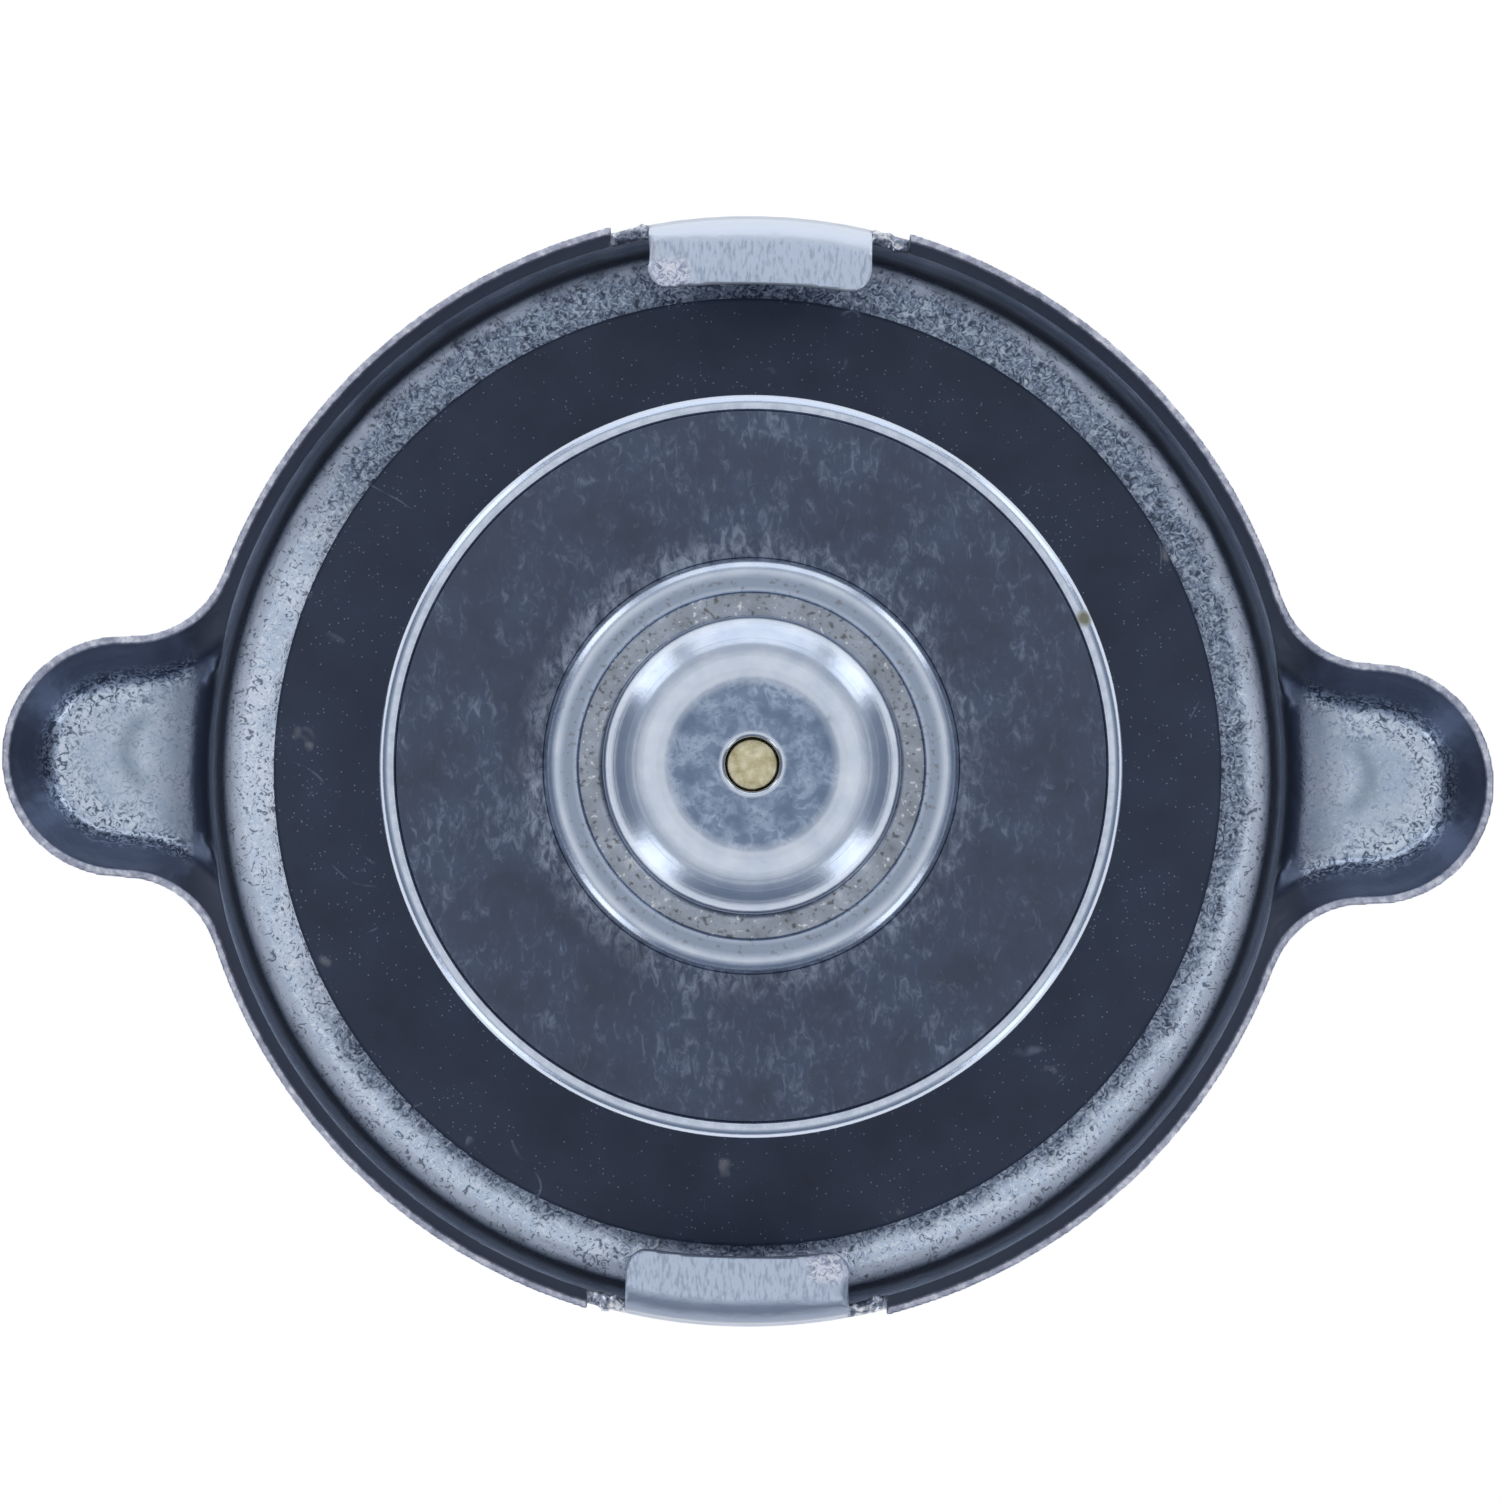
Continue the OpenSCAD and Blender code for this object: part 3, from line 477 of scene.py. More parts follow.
def dome_steel():
    """Drawn steel of the dome: bright, with faint die rings, a dull crackled end whose darker colour is
    painted reflection of the dark space overhead, and a grey groove.
    """
    material, tree, place = new_material("drawn_steel_dome")
    radius, parts = polar(tree, place)
    top = node_mm("dome_tube")[1].z
    collar_top = top - DOME_H
    cloud = add(tree, "ShaderNodeTexNoise",
                {"Vector": place, "Scale": per_mm(1.6), "Detail": 4.0}).outputs[0]
    vein_noise = add(tree, "ShaderNodeTexNoise",
                     {"Vector": place, "Scale": per_mm(1.1), "Detail": 5.0, "Roughness": 0.65,
                      "Distortion": 0.4}).outputs[0]
    thin = add(tree, "ShaderNodeMapRange",
               {0: from_middle(tree, vein_noise), 1: 0.0, 2: 0.09, 3: 1.0, 4: 0.0}).outputs[0]
    some = add(tree, "ShaderNodeMapRange", {0: cloud, 1: 0.38, 2: 0.60, 4: 0.75}).outputs[0]
    vein = all_of(tree, thin, some)
    # Crackled, duller end of the dome; its darker blue-grey is painted reflection of the dark space
    # overhead
    crackle_and_shade_colour = add(tree, "ShaderNodeValToRGB", {0: cloud},
                      [(0.3, hex_colour("#6d7f9b")), (0.7, hex_colour("#8798b3"))]).outputs[0]
    crackle_and_shade_colour = add(tree, "ShaderNodeMix",
                      {0: vein, 6: crackle_and_shade_colour, 7: hex_colour("#b4c5dd")}, data_type="RGBA").outputs[2]
    on_flat = all_of(
        tree, add(tree, "ShaderNodeMapRange", {0: parts[2], 1: top - 0.06, 2: top - 0.03}).outputs[0],
        band(tree, radius, DOME_HOLE_R + 0.3, DOME_FLAT_R - 0.1, 0.08),
        add(tree, "ShaderNodeMapRange",
            {0: radius, 1: DOME_FLAT_R - 0.6, 2: DOME_FLAT_R, 3: 1.0, 4: 0.3}).outputs[0])

    # Grey deposit with specks in the groove round the dome, and a duller collar beside it
    speck = add(tree, "ShaderNodeTexNoise",
                {"Vector": place, "Scale": per_mm(0.32), "Detail": 3.0}).outputs[0]
    deposit = add(tree, "ShaderNodeValToRGB", {0: cloud},
                  [(0.35, hex_colour("#929aa6")), (0.65, hex_colour("#abb4c3"))]).outputs[0]
    dark_speck = add(tree, "ShaderNodeMapRange", {0: speck, 1: 0.33, 2: 0.42, 3: 0.7, 4: 0.0}).outputs[0]
    pale_speck = add(tree, "ShaderNodeMapRange", {0: speck, 1: 0.63, 2: 0.70, 4: 0.9}).outputs[0]
    in_groove = all_of(
        tree, band(tree, radius, DOME_R - 0.1, COLLAR_RING_R + 0.05, 0.06),
        band(tree, parts[2], collar_top - 1.0, collar_top - 0.02, 0.03))
    by_groove = all_of(
        tree, band(tree, radius, COLLAR_RING_R, COLLAR_RING_R + 0.9, 0.2),
        band(tree, parts[2], collar_top - 0.3, collar_top + 0.3, 0.05))
    on_collar = all_of(
        tree, band(tree, radius, COLLAR_RING_R + 0.1, COLLAR_RING_R + 1.0, 0.25),
        band(tree, parts[2], collar_top - 0.3, collar_top + 0.3, 0.05))
    bright = add(tree, "ShaderNodeValToRGB", {0: cloud},
                 [(0.3, hex_colour("#c9d5e8")), (0.7, hex_colour("#dde6f4"))]).outputs[0]
    colour, rough = layered(tree, bright, 0.25, [
        (on_flat, crackle_and_shade_colour, 0.36), (in_groove, deposit, 0.36), (on_collar, hex_colour("#9aa8be"), 0.32),
        (all_of(tree, in_groove, dark_speck), hex_colour("#5d5b55"), 0.5),
        (all_of(tree, in_groove, pale_speck), hex_colour("#f0f2f5"), 0.5),
        (all_of(tree, by_groove, dark_speck), hex_colour("#84868a"), 0.4)])

    # Rings left by the die, drawn coarser than they are so that they show
    rings = add(tree, "ShaderNodeTexNoise", {"W": radius, "Scale": 2.6, "Detail": 2.0},
                noise_dimensions="1D").outputs[0]
    bump = add(tree, "ShaderNodeBump",
               {"Strength": 0.3, "Distance": 0.05 * MM, "Height": rings}).outputs[0]
    fine = add(tree, "ShaderNodeBump",
               {"Strength": 0.25, "Distance": 0.02 * MM, "Height": speck, "Normal": bump}).outputs[0]
    finish_material(tree, {"Base Color": colour, "Metallic": 1.0, "Roughness": rough, "Normal": fine})
    return material


def cup_steel():
    """Pressed bright steel of the cup: smooth outside, rubbed inside its rim, with one rust spot."""
    material, tree, place = new_material("pressed_bright_steel")
    radius = polar(tree, place)[0]
    rim = node_mm("valve_cup")[1].x
    mottle = add(tree, "ShaderNodeTexNoise",
                 {"Vector": place, "Scale": per_mm(0.7), "Detail": 4.0, "Roughness": 0.6}).outputs[0]
    rubbed = all_of(
        tree, add(tree, "ShaderNodeMapRange", {0: mottle, 1: 0.42, 2: 0.62, 4: 0.5}).outputs[0],
        add(tree, "ShaderNodeMapRange",
            {0: radius, 1: rim - 0.6, 2: rim - 0.4, 3: 1.0, 4: 0.0}).outputs[0])
    spot = add(tree, "ShaderNodeVectorMath", {0: place, 1: [v * MM for v in RUST_SPOT]},
               operation="DISTANCE").outputs["Value"]
    rust = add(tree, "ShaderNodeMapRange",
               {0: spot, 1: RUST_R[0] * MM, 2: RUST_R[1] * MM, 3: 0.85, 4: 0.0}).outputs[0]
    colour, rough = layered(tree, hex_colour("#d3def0"), 0.22, [
        (rubbed, hex_colour("#aebbd0"), 0.34), (rust, hex_colour("#7d7a55"), 0.6)])
    bump = add(tree, "ShaderNodeBump",
               {"Strength": 0.3, "Distance": 0.03 * MM, "Height": mottle}).outputs[0]
    finish_material(tree, {"Base Color": colour, "Metallic": 1.0, "Roughness": rough, "Normal": bump})
    return material


def mottled_metal(name, mottle, stops, rough, relief):
    """Metal whose colour and relief follow one mottle: its noise, colour stops, roughness and bump."""
    material, tree, place = new_material(name)
    noise = add(tree, "ShaderNodeTexNoise", {"Vector": place, "Detail": 4.0, **mottle}).outputs[0]
    colour = add(tree, "ShaderNodeValToRGB", {0: noise}, stops).outputs[0]
    bump = add(tree, "ShaderNodeBump", {"Height": noise, **relief}).outputs[0]
    finish_material(tree, {"Base Color": colour, "Metallic": 1.0, "Roughness": rough, "Normal": bump})
    return material


def zinc_plate():
    """Zinc-plated steel: dull blue-grey with a fine crystal mottle."""
    return mottled_metal(
        "zinc_plated_steel", {"Scale": per_mm(0.6)},
        [(0.0, hex_colour("#8d97a8")), (1.0, hex_colour("#c2cad8"))], 0.38,
        {"Strength": 0.3, "Distance": 0.03 * MM})


def spring_wire():
    """Hard-drawn spring wire: grey, slightly oily, with faint drawing marks."""
    return mottled_metal(
        "spring_steel_wire", {"Scale": per_mm(0.7)},
        [(0.0, hex_colour("#6c7380")), (1.0, hex_colour("#a9b0bd"))], 0.3,
        {"Strength": 0.25, "Distance": 0.02 * MM})


def dull_brass():
    """Turned brass, tarnished: pale yellow-grey with tool marks."""
    return mottled_metal(
        "turned_brass", {"Scale": per_mm(0.6), "Roughness": 0.65},
        [(0.3, hex_colour("#b9af86")), (0.7, hex_colour("#f2ecd2"))], 0.42,
        {"Strength": 0.4, "Distance": 0.05 * MM})


def gasket_rubber():
    """Moulded nitrile rubber: matt blue-black, with pale dust in clusters and a few thin scratches."""
    material, tree, place = new_material("nitrile_rubber")
    cluster = add(tree, "ShaderNodeTexNoise",
                  {"Vector": place, "Scale": per_mm(3.5), "Detail": 3.0}).outputs[0]
    cells = add(tree, "ShaderNodeTexVoronoi", {"Vector": place, "Scale": per_mm(0.27)})
    pick = add(tree, "ShaderNodeSeparateColor", {0: cells.outputs["Color"]}).outputs[0]
    wanted = add(tree, "ShaderNodeMapRange", {0: cluster, 1: 0.35, 2: 0.7, 3: 0.93, 4: 0.35}).outputs[0]
    kept = add(tree, "ShaderNodeMath", {0: pick, 1: wanted}, operation="GREATER_THAN").outputs[0]
    dot = add(tree, "ShaderNodeMapRange",
              {0: cells.outputs["Distance"], 1: 0.10, 2: 0.22, 3: 0.8, 4: 0.0}).outputs[0]
    dust = all_of(tree, dot, kept)
    line_noise = add(tree, "ShaderNodeTexNoise",
                     {"Vector": place, "Scale": per_mm(7.0), "Detail": 1.0, "Distortion": 0.6}).outputs[0]
    line = all_of(
        tree, add(tree, "ShaderNodeMapRange",
                  {0: from_middle(tree, line_noise), 1: 0.003, 2: 0.007, 3: 1.0, 4: 0.0}).outputs[0],
        add(tree, "ShaderNodeMapRange", {0: cluster, 1: 0.58, 2: 0.66, 4: 0.6}).outputs[0])
    base = add(tree, "ShaderNodeValToRGB", {0: cluster},
               [(0.3, hex_colour("#313b4f")), (0.7, hex_colour("#3b465d"))]).outputs[0]
    colour, rough = layered(tree, base, 0.6, [
        (dust, hex_colour("#8e99ae"), 0.7), (line, hex_colour("#7f8a9f"), 0.6)])
    bump = add(tree, "ShaderNodeBump", {"Strength": 0.3, "Distance": 0.03 * MM, "Height": dust}).outputs[0]
    finish_material(tree, {"Base Color": colour, "Roughness": rough, "Specular IOR Level": 0.35,
                           "Normal": bump})
    return material


def seal_rubber():
    """Rubber disc rubbed by its seat: slate grey with cloudy scuffs, and chalk beside the collar."""
    material, tree, place = new_material("scuffed_rubber")
    radius, parts = polar(tree, place)
    cloud = add(tree, "ShaderNodeTexNoise",
                {"Vector": place, "Scale": per_mm(4.0), "Detail": 4.0, "Roughness": 0.6}).outputs[0]
    slanted = add(tree, "ShaderNodeMapping",
                  {"Vector": place, "Rotation": (0, 0, math.radians(40)),
                   "Scale": (per_mm(0.5), per_mm(0.95), per_mm(0.7))}).outputs[0]
    scuff = add(tree, "ShaderNodeTexNoise",
                {"Vector": slanted, "Scale": 1.0, "Detail": 5.0, "Roughness": 0.7,
                 "Distortion": 0.7}).outputs[0]
    base = add(tree, "ShaderNodeValToRGB", {0: cloud},
               [(0.25, hex_colour("#3a4557")), (0.5, hex_colour("#434f66")),
                (0.75, hex_colour("#4e5d78"))]).outputs[0]
    some = add(tree, "ShaderNodeMapRange", {0: cloud, 1: 0.40, 2: 0.66, 4: 0.9}).outputs[0]
    mark = add(tree, "ShaderNodeMapRange", {0: scuff, 1: 0.50, 2: 0.66, 4: 0.8}).outputs[0]
    scuffed = all_of(tree, some, mark)
    faint = add(tree, "ShaderNodeMapRange", {0: scuff, 1: 0.58, 2: 0.72, 4: 0.35}).outputs[0]
    west = add(tree, "ShaderNodeMapRange", {0: parts[0], 1: -11.0, 2: 11.0, 3: 1.0, 4: 0.35}).outputs[0]
    collar = node_mm("dome_tube")[1].x
    chalk_noise = add(tree, "ShaderNodeMapRange", {0: scuff, 1: 0.40, 2: 0.62, 4: 0.9}).outputs[0]
    patchy = add(tree, "ShaderNodeMapRange", {0: cloud, 1: 0.30, 2: 0.55, 3: 0.35, 4: 1.0}).outputs[0]
    chalk = all_of(tree, west, chalk_noise, patchy, band(tree, radius, collar - 0.3, collar + 0.9, 0.9))
    colour, rough = layered(tree, base, 0.52, [
        (faint, hex_colour("#7d8aa0"), 0.6), (scuffed, hex_colour("#8491a8"), 0.6),
        (chalk, hex_colour("#b3bfd2"), 0.7)])
    bump = add(tree, "ShaderNodeBump",
               {"Strength": 0.25, "Distance": 0.04 * MM, "Height": scuff}).outputs[0]
    finish_material(tree, {"Base Color": colour, "Roughness": rough, "Specular IOR Level": 0.4,
                           "Normal": bump})
    return material


def deselect():
    """Leaves nothing selected, so that an operator acts only on what is selected next."""
    bpy.ops.object.select_all(action="DESELECT")


def choose(piece):
    """Selects one piece alone and makes it active."""
    deselect()
    piece.select_set(True)
    bpy.context.view_layer.objects.active = piece


def apply_modifier(piece, kind, **settings):
    """Adds a modifier with its settings and applies it."""
    modifier = piece.modifiers.new(kind.lower(), kind)
    for name, value in settings.items():
        setattr(modifier, name, value)
    bpy.context.view_layer.objects.active = piece
    bpy.ops.object.modifier_apply(modifier=modifier.name)


def rounded(corners, steps):
    """Outline in metres from corners (r, z, rounding) in millimetres, with each rounding as an arc."""
    points = []
    count = len(corners)
    for i, (r, z, rounding) in enumerate(corners):
        corner = Vector((r, z))
        if rounding == 0:
            points.append(corner * MM)
            continue
        before = (Vector(corners[i - 1][:2]) - corner).normalized()
        after = (Vector(corners[(i + 1) % count][:2]) - corner).normalized()
        half = before.angle(after) / 2
        centre = corner + (before + after).normalized() * (rounding / math.sin(half))
        start = corner + before * (rounding / math.tan(half)) - centre
        end = corner + after * (rounding / math.tan(half)) - centre
        sweep = start.angle_signed(end)
        for k in range(steps + 1):
            turn = Matrix.Rotation(-sweep * k / steps, 2)
            points.append((centre + turn @ start) * MM)
    return points


def turned(name, corners, steps=ARC_STEPS):
    """A turned or pressed round piece: its section is extruded from a point and spun round the axis."""
    points = rounded(corners, steps)
    deselect()
    first = points[0]
    bpy.ops.mesh.primitive_plane_add(size=MM, location=(first.x, 0, first.y))
    bpy.ops.object.transform_apply(location=True, rotation=True, scale=True)
    bpy.ops.object.mode_set(mode="EDIT")
    bpy.ops.mesh.merge(type="CENTER")
    for here, there in zip(points, points[1:] + points[:1]):
        if here.x == 0 and there.x == 0:
            continue
        step = (there.x - here.x, 0, there.y - here.y)
        bpy.ops.mesh.extrude_vertices_move(TRANSFORM_OT_translate={"value": step})
    bpy.ops.mesh.select_all(action="SELECT")
    bpy.ops.mesh.remove_doubles(threshold=SECTION_MERGE)
    bpy.ops.mesh.spin(steps=TURN_STEPS, angle=2 * math.pi, center=(0, 0, 0), axis=(0, 0, 1))
    bpy.ops.mesh.select_all(action="SELECT")
    bpy.ops.mesh.remove_doubles(threshold=MERGE)
    bpy.ops.mesh.normals_make_consistent(inside=False)
    bpy.ops.object.mode_set(mode="OBJECT")
    piece = bpy.context.active_object
    piece.name = name
    bpy.ops.object.shade_smooth_by_angle(angle=SMOOTH_ANGLE)
    return piece


def stand_for(piece, node, body, material):
    """The piece takes a node's place, body and finish."""
    piece.data.materials.clear()
    piece.data.materials.append(material)
    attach(piece, body)
    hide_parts(node)


def node_mm(node):
    """Lowest and highest corner of a node, in millimetres."""
    lo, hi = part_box(node)
    return lo / MM, hi / MM


def make_gasket(material):
    """Flat rubber ring with a recess for the spring seat."""
    lo, hi = node_mm("neck_gasket")
    seat_lo, seat_hi = node_mm("spring_seat")
    bore = TENON_R + PRESS_GAP
    recess = seat_hi.x + SEAT_GAP
    piece = turned("gasket_ring", [
        (bore, lo.z, 0), (hi.x, lo.z, GASKET_EDGE), (hi.x, hi.z, GASKET_EDGE),
        (recess, hi.z, RECESS_EDGE), (recess, seat_lo.z, RECESS_FOOT), (bore, seat_lo.z, 0)])
    stand_for(piece, "neck_gasket", "carrier", material)


def make_seal(material):
    """Rubber disc in the cup, pressed in by the collar at its middle."""
    lo, hi = node_mm("pressure_seal")
    dome_hi = node_mm("dome_tube")[1]
    sunk = dome_hi.z - DOME_H - COLLAR_T
    bore = DOME_R + PRESS_GAP
    land = dome_hi.x + LAND_GAP
    edge = hi.x + SEAL_SPREAD
    piece = turned("seal_disc", [
        (bore, lo.z, 0), (edge, lo.z, SEAL_FOOT), (edge, hi.z, SEAL_EDGE),
        (land, hi.z, LAND_EDGE), (land, sunk, LAND_FOOT), (bore, sunk, 0)])
    stand_for(piece, "pressure_seal", "valve", material)


def make_cup(material):
    """Pressed cup whose turned-up rim holds the seal."""
    lo, hi = node_mm("valve_cup")
    inside = hi.x - CUP_T
    bore = DOME_R + PRESS_GAP
    floor = lo.z + CUP_T
    piece = turned("seal_cup", [
        (bore, lo.z, 0), (hi.x, lo.z, CUP_BEND), (hi.x, hi.z, CUP_EDGE),
        (inside, hi.z, CUP_LIP), (inside, floor, CUP_CORNER), (bore, floor, 0)], CUP_ARC_STEPS)
    stand_for(piece, "valve_cup", "valve", material)


def make_dome(material):
    """Drawn tube with its inner lip, bead, folded collar, domed end and breather ports."""
    lo, hi = node_mm("dome_tube")
    top = hi.z
    collar_top = top - DOME_H
    collar_z = collar_top - COLLAR_T
    groove = collar_top - COLLAR_RING_H
    inner = DOME_R - TUBE_WALL
    crown = DOME_FLAT_R + CROWN_R * math.tan(DOME_LEAN / 2)
    crown_in = crown - TUBE_WALL * math.tan(DOME_LEAN / 2)
    knuckle = top - (DOME_R - crown) * math.tan(DOME_LEAN)
    knuckle_in = top - TUBE_WALL - (inner - crown_in) * math.tan(DOME_LEAN)
    bead = node_mm("vacuum_seat")[0].z
    catch_top = lo.z + TUBE_WALL
    piece = turned("dome_shell", [
        (inner, catch_top, 0), (CATCH_R, catch_top, CATCH_EDGE), (CATCH_R, lo.z, CATCH_EDGE),
        (DOME_R, lo.z, TUBE_WALL), (DOME_R, collar_z, 0), (hi.x, collar_z, COLLAR_UNDER),
        (hi.x, collar_top, COLLAR_ROLL),
        (COLLAR_RING_R, collar_top, COLLAR_EDGE), (COLLAR_RING_R, groove, GROOVE_CORNER),
        (DOME_R, groove, DOME_FOOT), (DOME_R, knuckle, KNUCKLE_R), (crown, top, CROWN_R),
        (DOME_HOLE_R, top, HOLE_EDGE), (DOME_HOLE_R, top - TUBE_WALL, HOLE_BACK),
        (crown_in, top - TUBE_WALL, CROWN_R - TUBE_WALL), (inner, knuckle_in, KNUCKLE_R - TUBE_WALL),
        (inner, bead, BEAD_FOOT), (inner - BEAD_W, bead - BEAD_H / 2, BEAD_TOP),
        (inner, bead - BEAD_H, BEAD_FOOT)], DOME_ARC_STEPS)
    port_z = (catch_top + bead - BEAD_H) / 2
    for i in range(PORT_COUNT):
        turn = 2 * math.pi * i / PORT_COUNT
        deselect()
        bpy.ops.mesh.primitive_cylinder_add(
            radius=PORT_R * MM, depth=PORT_DEPTH * MM, vertices=PORT_STEPS,
            rotation=(0, math.pi / 2, turn),
            location=(DOME_R * MM * math.cos(turn), DOME_R * MM * math.sin(turn), port_z * MM))
        drill = bpy.context.active_object
        apply_modifier(piece, "BOOLEAN", object=drill, operation="DIFFERENCE", solver="EXACT")
        bpy.data.objects.remove(drill)
    choose(piece)
    bpy.ops.object.shade_smooth_by_angle(angle=SMOOTH_ANGLE)
    stand_for(piece, "dome_tube", "valve", material)


def make_vacuum_valve(material):
    """Turned brass disc with a hub and a stem whose end shows in the dome's hole."""
    lo, hi = node_mm("vacuum_valve")
    disc_top = lo.z + DISC_T
    piece = turned("vacuum_stem", [
        (0, lo.z, 0), (hi.x, lo.z, DISC_EDGE), (hi.x, disc_top, DISC_EDGE), (HUB_R, disc_top, HUB_EDGE),
        (HUB_R, HUB_TOP, HUB_EDGE), (STEM_R, HUB_TOP, STEM_FOOT), (STEM_R, hi.z, STEM_EDGE), (0, hi.z, 0)])
    stand_for(piece, "vacuum_valve", "vacuum", material)


def coil(name, node, wire_d, turns):
    """A coil spring with closed ends, as a wire along a curve."""
    lo, hi = node_mm(node)
    mean_r = hi.x - wire_d / 2
    span = hi.z - lo.z - wire_d
    closed = CLOSED_PITCH * wire_d
    rise = (span - 2 * closed) / (turns - 2)
    count = int(turns * COIL_STEPS)
    curve = bpy.data.curves.new(name, "CURVE")
    curve.dimensions = "3D"
    curve.bevel_depth = wire_d / 2 * MM
    curve.bevel_resolution = WIRE_STEPS
    curve.use_fill_caps = True
    line = curve.splines.new("POLY")
    line.points.add(count)
    for i, point in enumerate(line.points):
        turn = turns * i / count
        climb = min(turn, 1) * closed + max(0, min(turn, turns - 1) - 1) * rise
        climb += max(0, turn - turns + 1) * closed
        angle = 2 * math.pi * turn
        x = mean_r * MM * math.cos(angle)
        y = mean_r * MM * math.sin(angle)
        point.co = (x, y, (lo.z + wire_d / 2 + climb) * MM, 1)
    piece = bpy.data.objects.new(name, curve)
    bpy.context.collection.objects.link(piece)
    choose(piece)
    bpy.ops.object.convert(target="MESH")
    bpy.ops.object.shade_smooth_by_angle(angle=COIL_SMOOTH_ANGLE)
    return bpy.context.active_object


def make_springs(material):
    """The two coil springs, each with a mesh of its own; in the cap they shorten as their valves move."""
    spring = coil("pressure_coil", "pressure_spring", WIRE_D, SPRING_TURNS)
    stand_for(spring, "pressure_spring", "carrier", material)
    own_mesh(spring)
    fine = coil("vacuum_coil", "vacuum_spring", FINE_WIRE_D, FINE_TURNS)
    stand_for(fine, "vacuum_spring", "valve", material)
    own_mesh(fine)


def torn_bits(skin):
    """Joins torn lumps of steel to the bottoms of the four notches beside the tabs."""
    draw = random.Random(BIT_SEED)
    bits = []
    for side_y in (-1, 1):
        for side_x in (-1, 1):
            for i in range(BITS_PER_NOTCH):
                x = side_x * (TAB_HALF + NOTCH_W * (i + draw.uniform(0.1, 0.9)) / BITS_PER_NOTCH)
                r = SKIRT_MIDDLE + draw.uniform(-BIT_ASIDE, BIT_ASIDE)
                y = side_y * math.sqrt(r * r - x * x)
                size = draw.uniform(*BIT_SIZE)
                turn = Euler([draw.uniform(0, math.pi) for _ in range(3)])
                z = NOTCH_Z + draw.uniform(-BIT_LIFT, BIT_LIFT)
                bpy.ops.mesh.primitive_cube_add(
                    size=size * MM, rotation=turn, location=(x * MM, y * MM, z * MM))
                bits.append(bpy.context.active_object)
    deselect()
    for bit in bits:
        bit.select_set(True)
    skin.select_set(True)
    bpy.context.view_layer.objects.active = skin
    bpy.ops.object.join()


def in_soft_bend(point):
    """Whether a point in millimetres lies at an ear's root, or where a tab's leading end turns down."""
    by_ear = ROOT_X[0] < abs(point.x) < ROOT_X[1] and abs(point.y) < ROOT_HALF
    root = by_ear and ROOT_Z[0] < point.z < ROOT_Z[1]
    along = math.copysign(point.x, point.x * point.y)
    by_end = END_ALONG[0] < along < END_ALONG[1] and END_Y[0] < abs(point.y) < END_Y[1]
    turned_end = by_end and point.z > END_Z
    return root or turned_end


def make_cover(material):
    """The stamped cover: its packed form merged, with torn notches and soft worn edges."""
    skin = bpy.data.objects.new("cover_stamping", NODES["cover"].data.copy())
    bpy.context.collection.objects.link(skin)
    choose(skin)
    bpy.ops.mesh.customdata_custom_splitnormals_clear()
    bpy.ops.object.mode_set(mode="EDIT")
    bpy.ops.mesh.select_all(action="SELECT")
    bpy.ops.mesh.remove_doubles(threshold=MERGE)
    bpy.ops.object.mode_set(mode="OBJECT")
    torn_bits(skin)
    apply_modifier(skin, "REMESH", mode="VOXEL", voxel_size=COVER_VOXEL * MM)
    apply_modifier(skin, "SMOOTH", factor=SMOOTHING, iterations=EDGE_PASSES)
    soft = skin.vertex_groups.new(name="soft")
    soft.add([v.index for v in skin.data.vertices if in_soft_bend(v.co / MM)], 1.0, "REPLACE")
    apply_modifier(skin, "SMOOTH", factor=SMOOTHING, iterations=SOFT_PASSES, vertex_group="soft")
    triangles = 2 * len(skin.data.polygons)
    apply_modifier(skin, "DECIMATE", ratio=min(1.0, COVER_TRIANGLES / triangles))
    choose(skin)
    bpy.ops.object.shade_smooth()
    stand_for(skin, "cover", "cover", material)


def dress_nodes(finishes):
    """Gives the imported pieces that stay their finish."""
    for node, material in finishes.items():
        NODES[node].data.materials.clear()
        NODES[node].data.materials.append(material)


def make_stage():
    """White floor that keeps a soft shadow."""
    material, tree = new_material("white_floor")[:2]
    path = add(tree, "ShaderNodeLightPath")
    seen = add(tree, "ShaderNodeMath",
               {0: path.outputs["Is Camera Ray"], 1: path.outputs["Is Glossy Ray"]},
               operation="MAXIMUM").outputs[0]
    seen = add(tree, "ShaderNodeMath", {0: seen, 1: path.outputs["Is Transmission Ray"]},
               operation="MAXIMUM").outputs[0]
    share = add(tree, "ShaderNodeMath", {0: seen, 1: FLOOR_SHARE}, operation="MULTIPLY").outputs[0]
    matt = add(tree, "ShaderNodeBsdfDiffuse", {"Color": [FLOOR_GREY] * 3 + [1.0]}).outputs[0]
    white = add(tree, "ShaderNodeEmission",
                {"Color": [1.0, 1.0, 1.0, 1.0], "Strength": FLOOR_WHITE}).outputs[0]
    mix = add(tree, "ShaderNodeMixShader", {0: share, 1: matt, 2: white}).outputs[0]
    add(tree, "ShaderNodeOutputMaterial", {"Surface": mix})
    deselect()
    bpy.ops.mesh.primitive_plane_add(size=FLOOR_SIZE)
    floor = bpy.context.active_object
    floor.name = "floor"
    floor.data.materials.append(material)


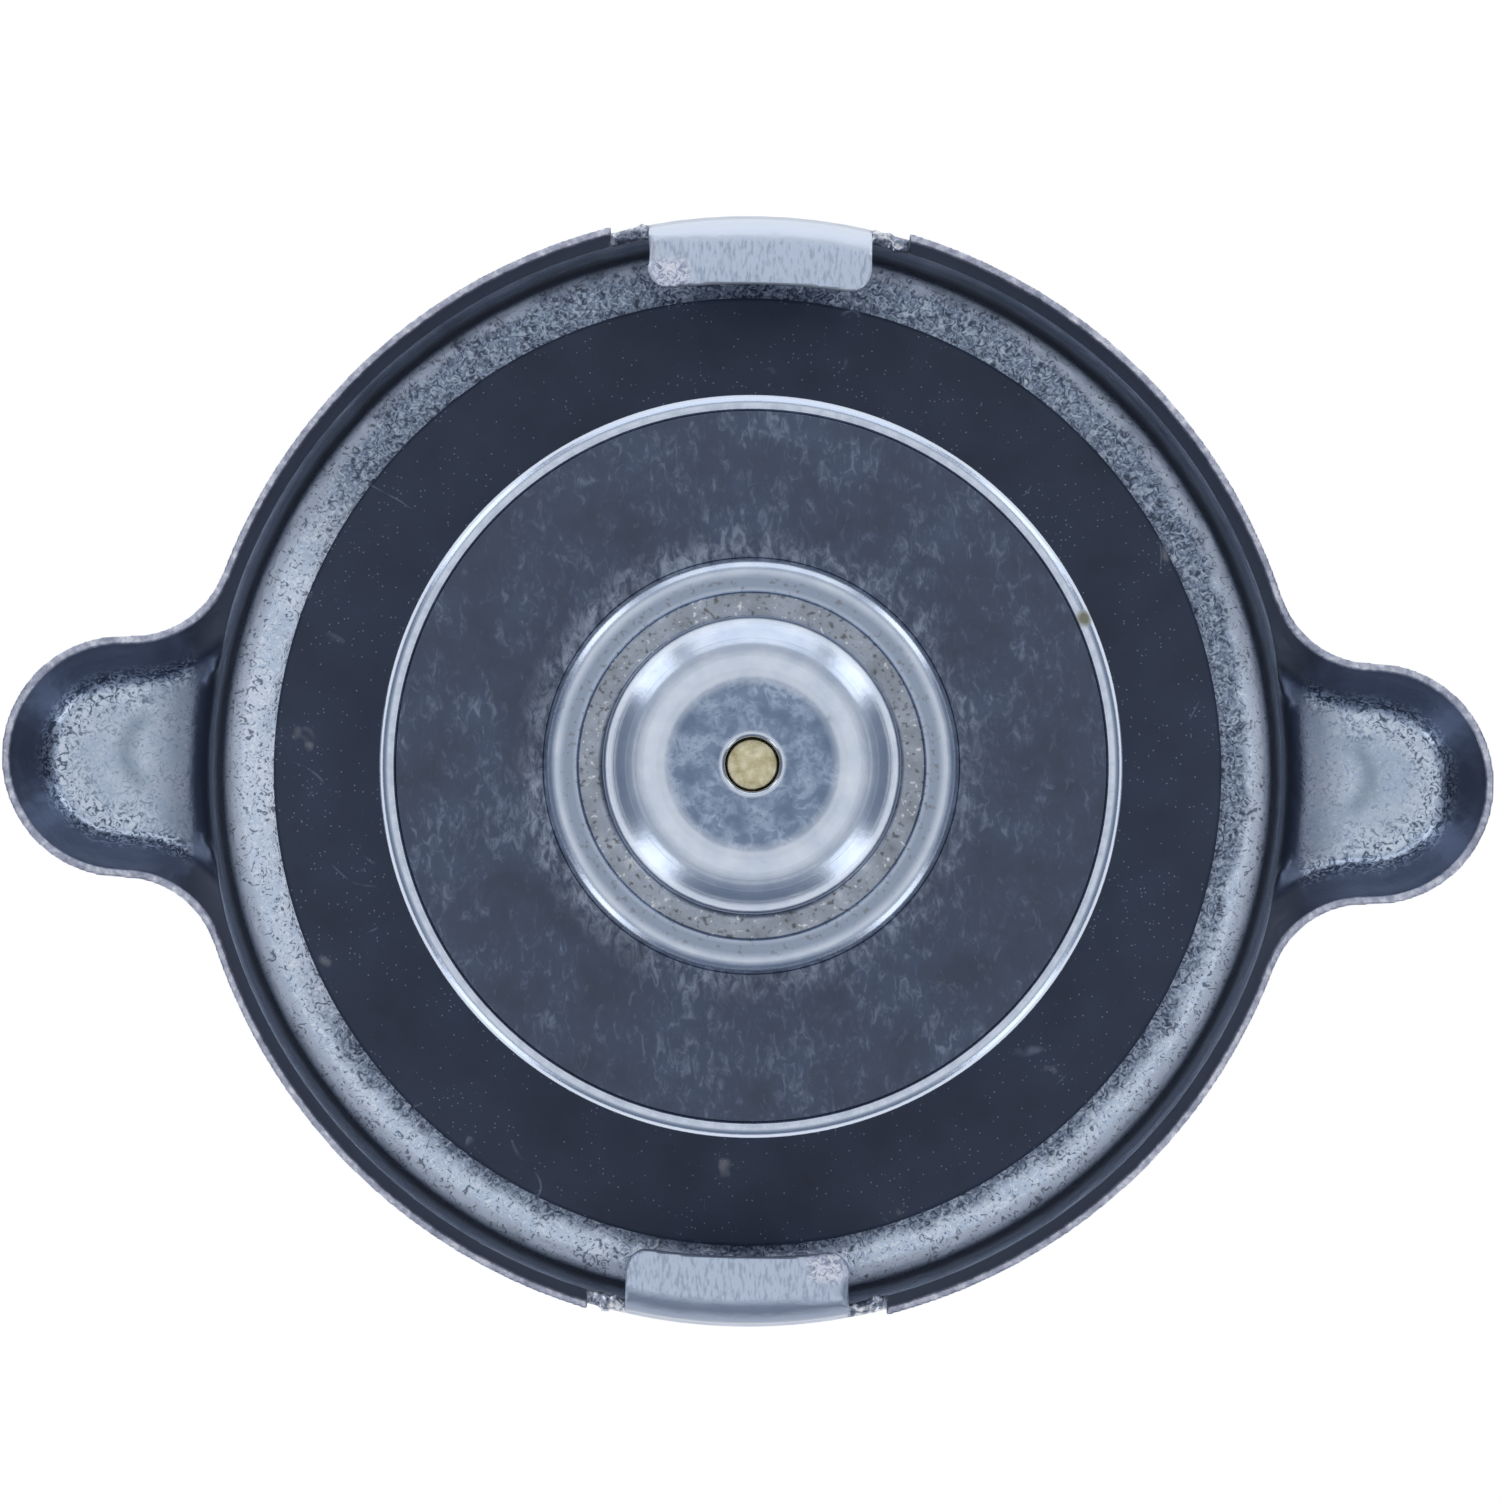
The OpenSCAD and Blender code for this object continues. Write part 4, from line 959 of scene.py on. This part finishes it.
def make_light():
    """A tent, bright above and open at its sides, with a panel behind and a tall lamp in each corner."""
    world = bpy.data.worlds.new("tent")
    world.use_nodes = True
    bpy.context.scene.world = world
    tree = world.node_tree
    tree.nodes.clear()
    up = add(tree, "ShaderNodeTexCoord").outputs["Generated"]
    height = add(tree, "ShaderNodeSeparateXYZ", {0: up}).outputs[2]
    sky = add(tree, "ShaderNodeValToRGB", {0: height},
              [(0.0, hex_colour("#656e7f")), (0.35, hex_colour("#6f7a8c")), (0.68, hex_colour("#a5abb5")),
               (0.80, 0.78), (0.96, 0.86), (1.0, 0.72)]).outputs[0]
    back = add(tree, "ShaderNodeBackground", {"Color": sky, "Strength": 1.0}).outputs[0]
    add(tree, "ShaderNodeOutputWorld", {"Surface": back})
    for name, (bearing, width, tall, bright) in LAMPS.items():
        turn = math.radians(bearing)
        lamp = bpy.data.lights.new(name, "AREA")
        lamp.shape = "RECTANGLE"
        lamp.size = width
        lamp.size_y = tall
        lamp.energy = bright * math.pi * width * tall
        holder = bpy.data.objects.new(name, lamp)
        bpy.context.collection.objects.link(holder)
        x = LAMP_DISTANCE * math.cos(turn)
        y = LAMP_DISTANCE * math.sin(turn)
        holder.location = (x, y, tall / 2 + LAMP_LIFT)
        holder.rotation_euler = (math.pi / 2, 0, turn + math.pi / 2)


def make_camera():
    """Camera above the cap, a little to one side, turned as the photograph is."""
    right = Vector((math.cos(IMAGE_TURN), math.sin(IMAGE_TURN), 0))
    up = Vector((-math.sin(IMAGE_TURN), math.cos(IMAGE_TURN), 0))
    middle = IMAGE_PIXELS / 2
    aim = right * ((middle - RIM_CENTRE_PIXEL[0]) / PIXELS_PER_MM)
    aim += up * ((RIM_CENTRE_PIXEL[1] - middle) / PIXELS_PER_MM)
    aim.z = RIM_Z
    place = Vector((CAMERA_ASIDE[0], CAMERA_ASIDE[1], RIM_Z + CAMERA_HEIGHT))
    forward = (aim - place).normalized()
    side = forward.cross(up).normalized()
    data = bpy.data.cameras.new("camera")
    data.sensor_width = SENSOR
    data.lens = SENSOR * (aim - place).length * PIXELS_PER_MM / IMAGE_PIXELS
    camera = bpy.data.objects.new("camera", data)
    bpy.context.collection.objects.link(camera)
    turn = Matrix((side, side.cross(forward), -forward)).transposed().to_4x4()
    camera.matrix_world = Matrix.Translation(place * MM) @ turn
    bpy.context.scene.camera = camera


def main():
    """Sets the camera and the light, and dresses every piece."""
    bpy.context.scene.view_settings.view_transform = "Standard"
    make_camera()
    make_light()
    make_stage()
    zinc = zinc_plate()
    wire = spring_wire()
    black = gasket_rubber()
    make_cover(tin_plate())
    make_gasket(black)
    make_seal(seal_rubber())
    make_cup(cup_steel())
    make_dome(dome_steel())
    make_vacuum_valve(dull_brass())
    make_springs(wire)
    dress_nodes({"swivel_rivet": zinc, "spring_seat": zinc, "guide_cup": zinc, "spring_disc": wire,
                 "vacuum_seat": black})


main()
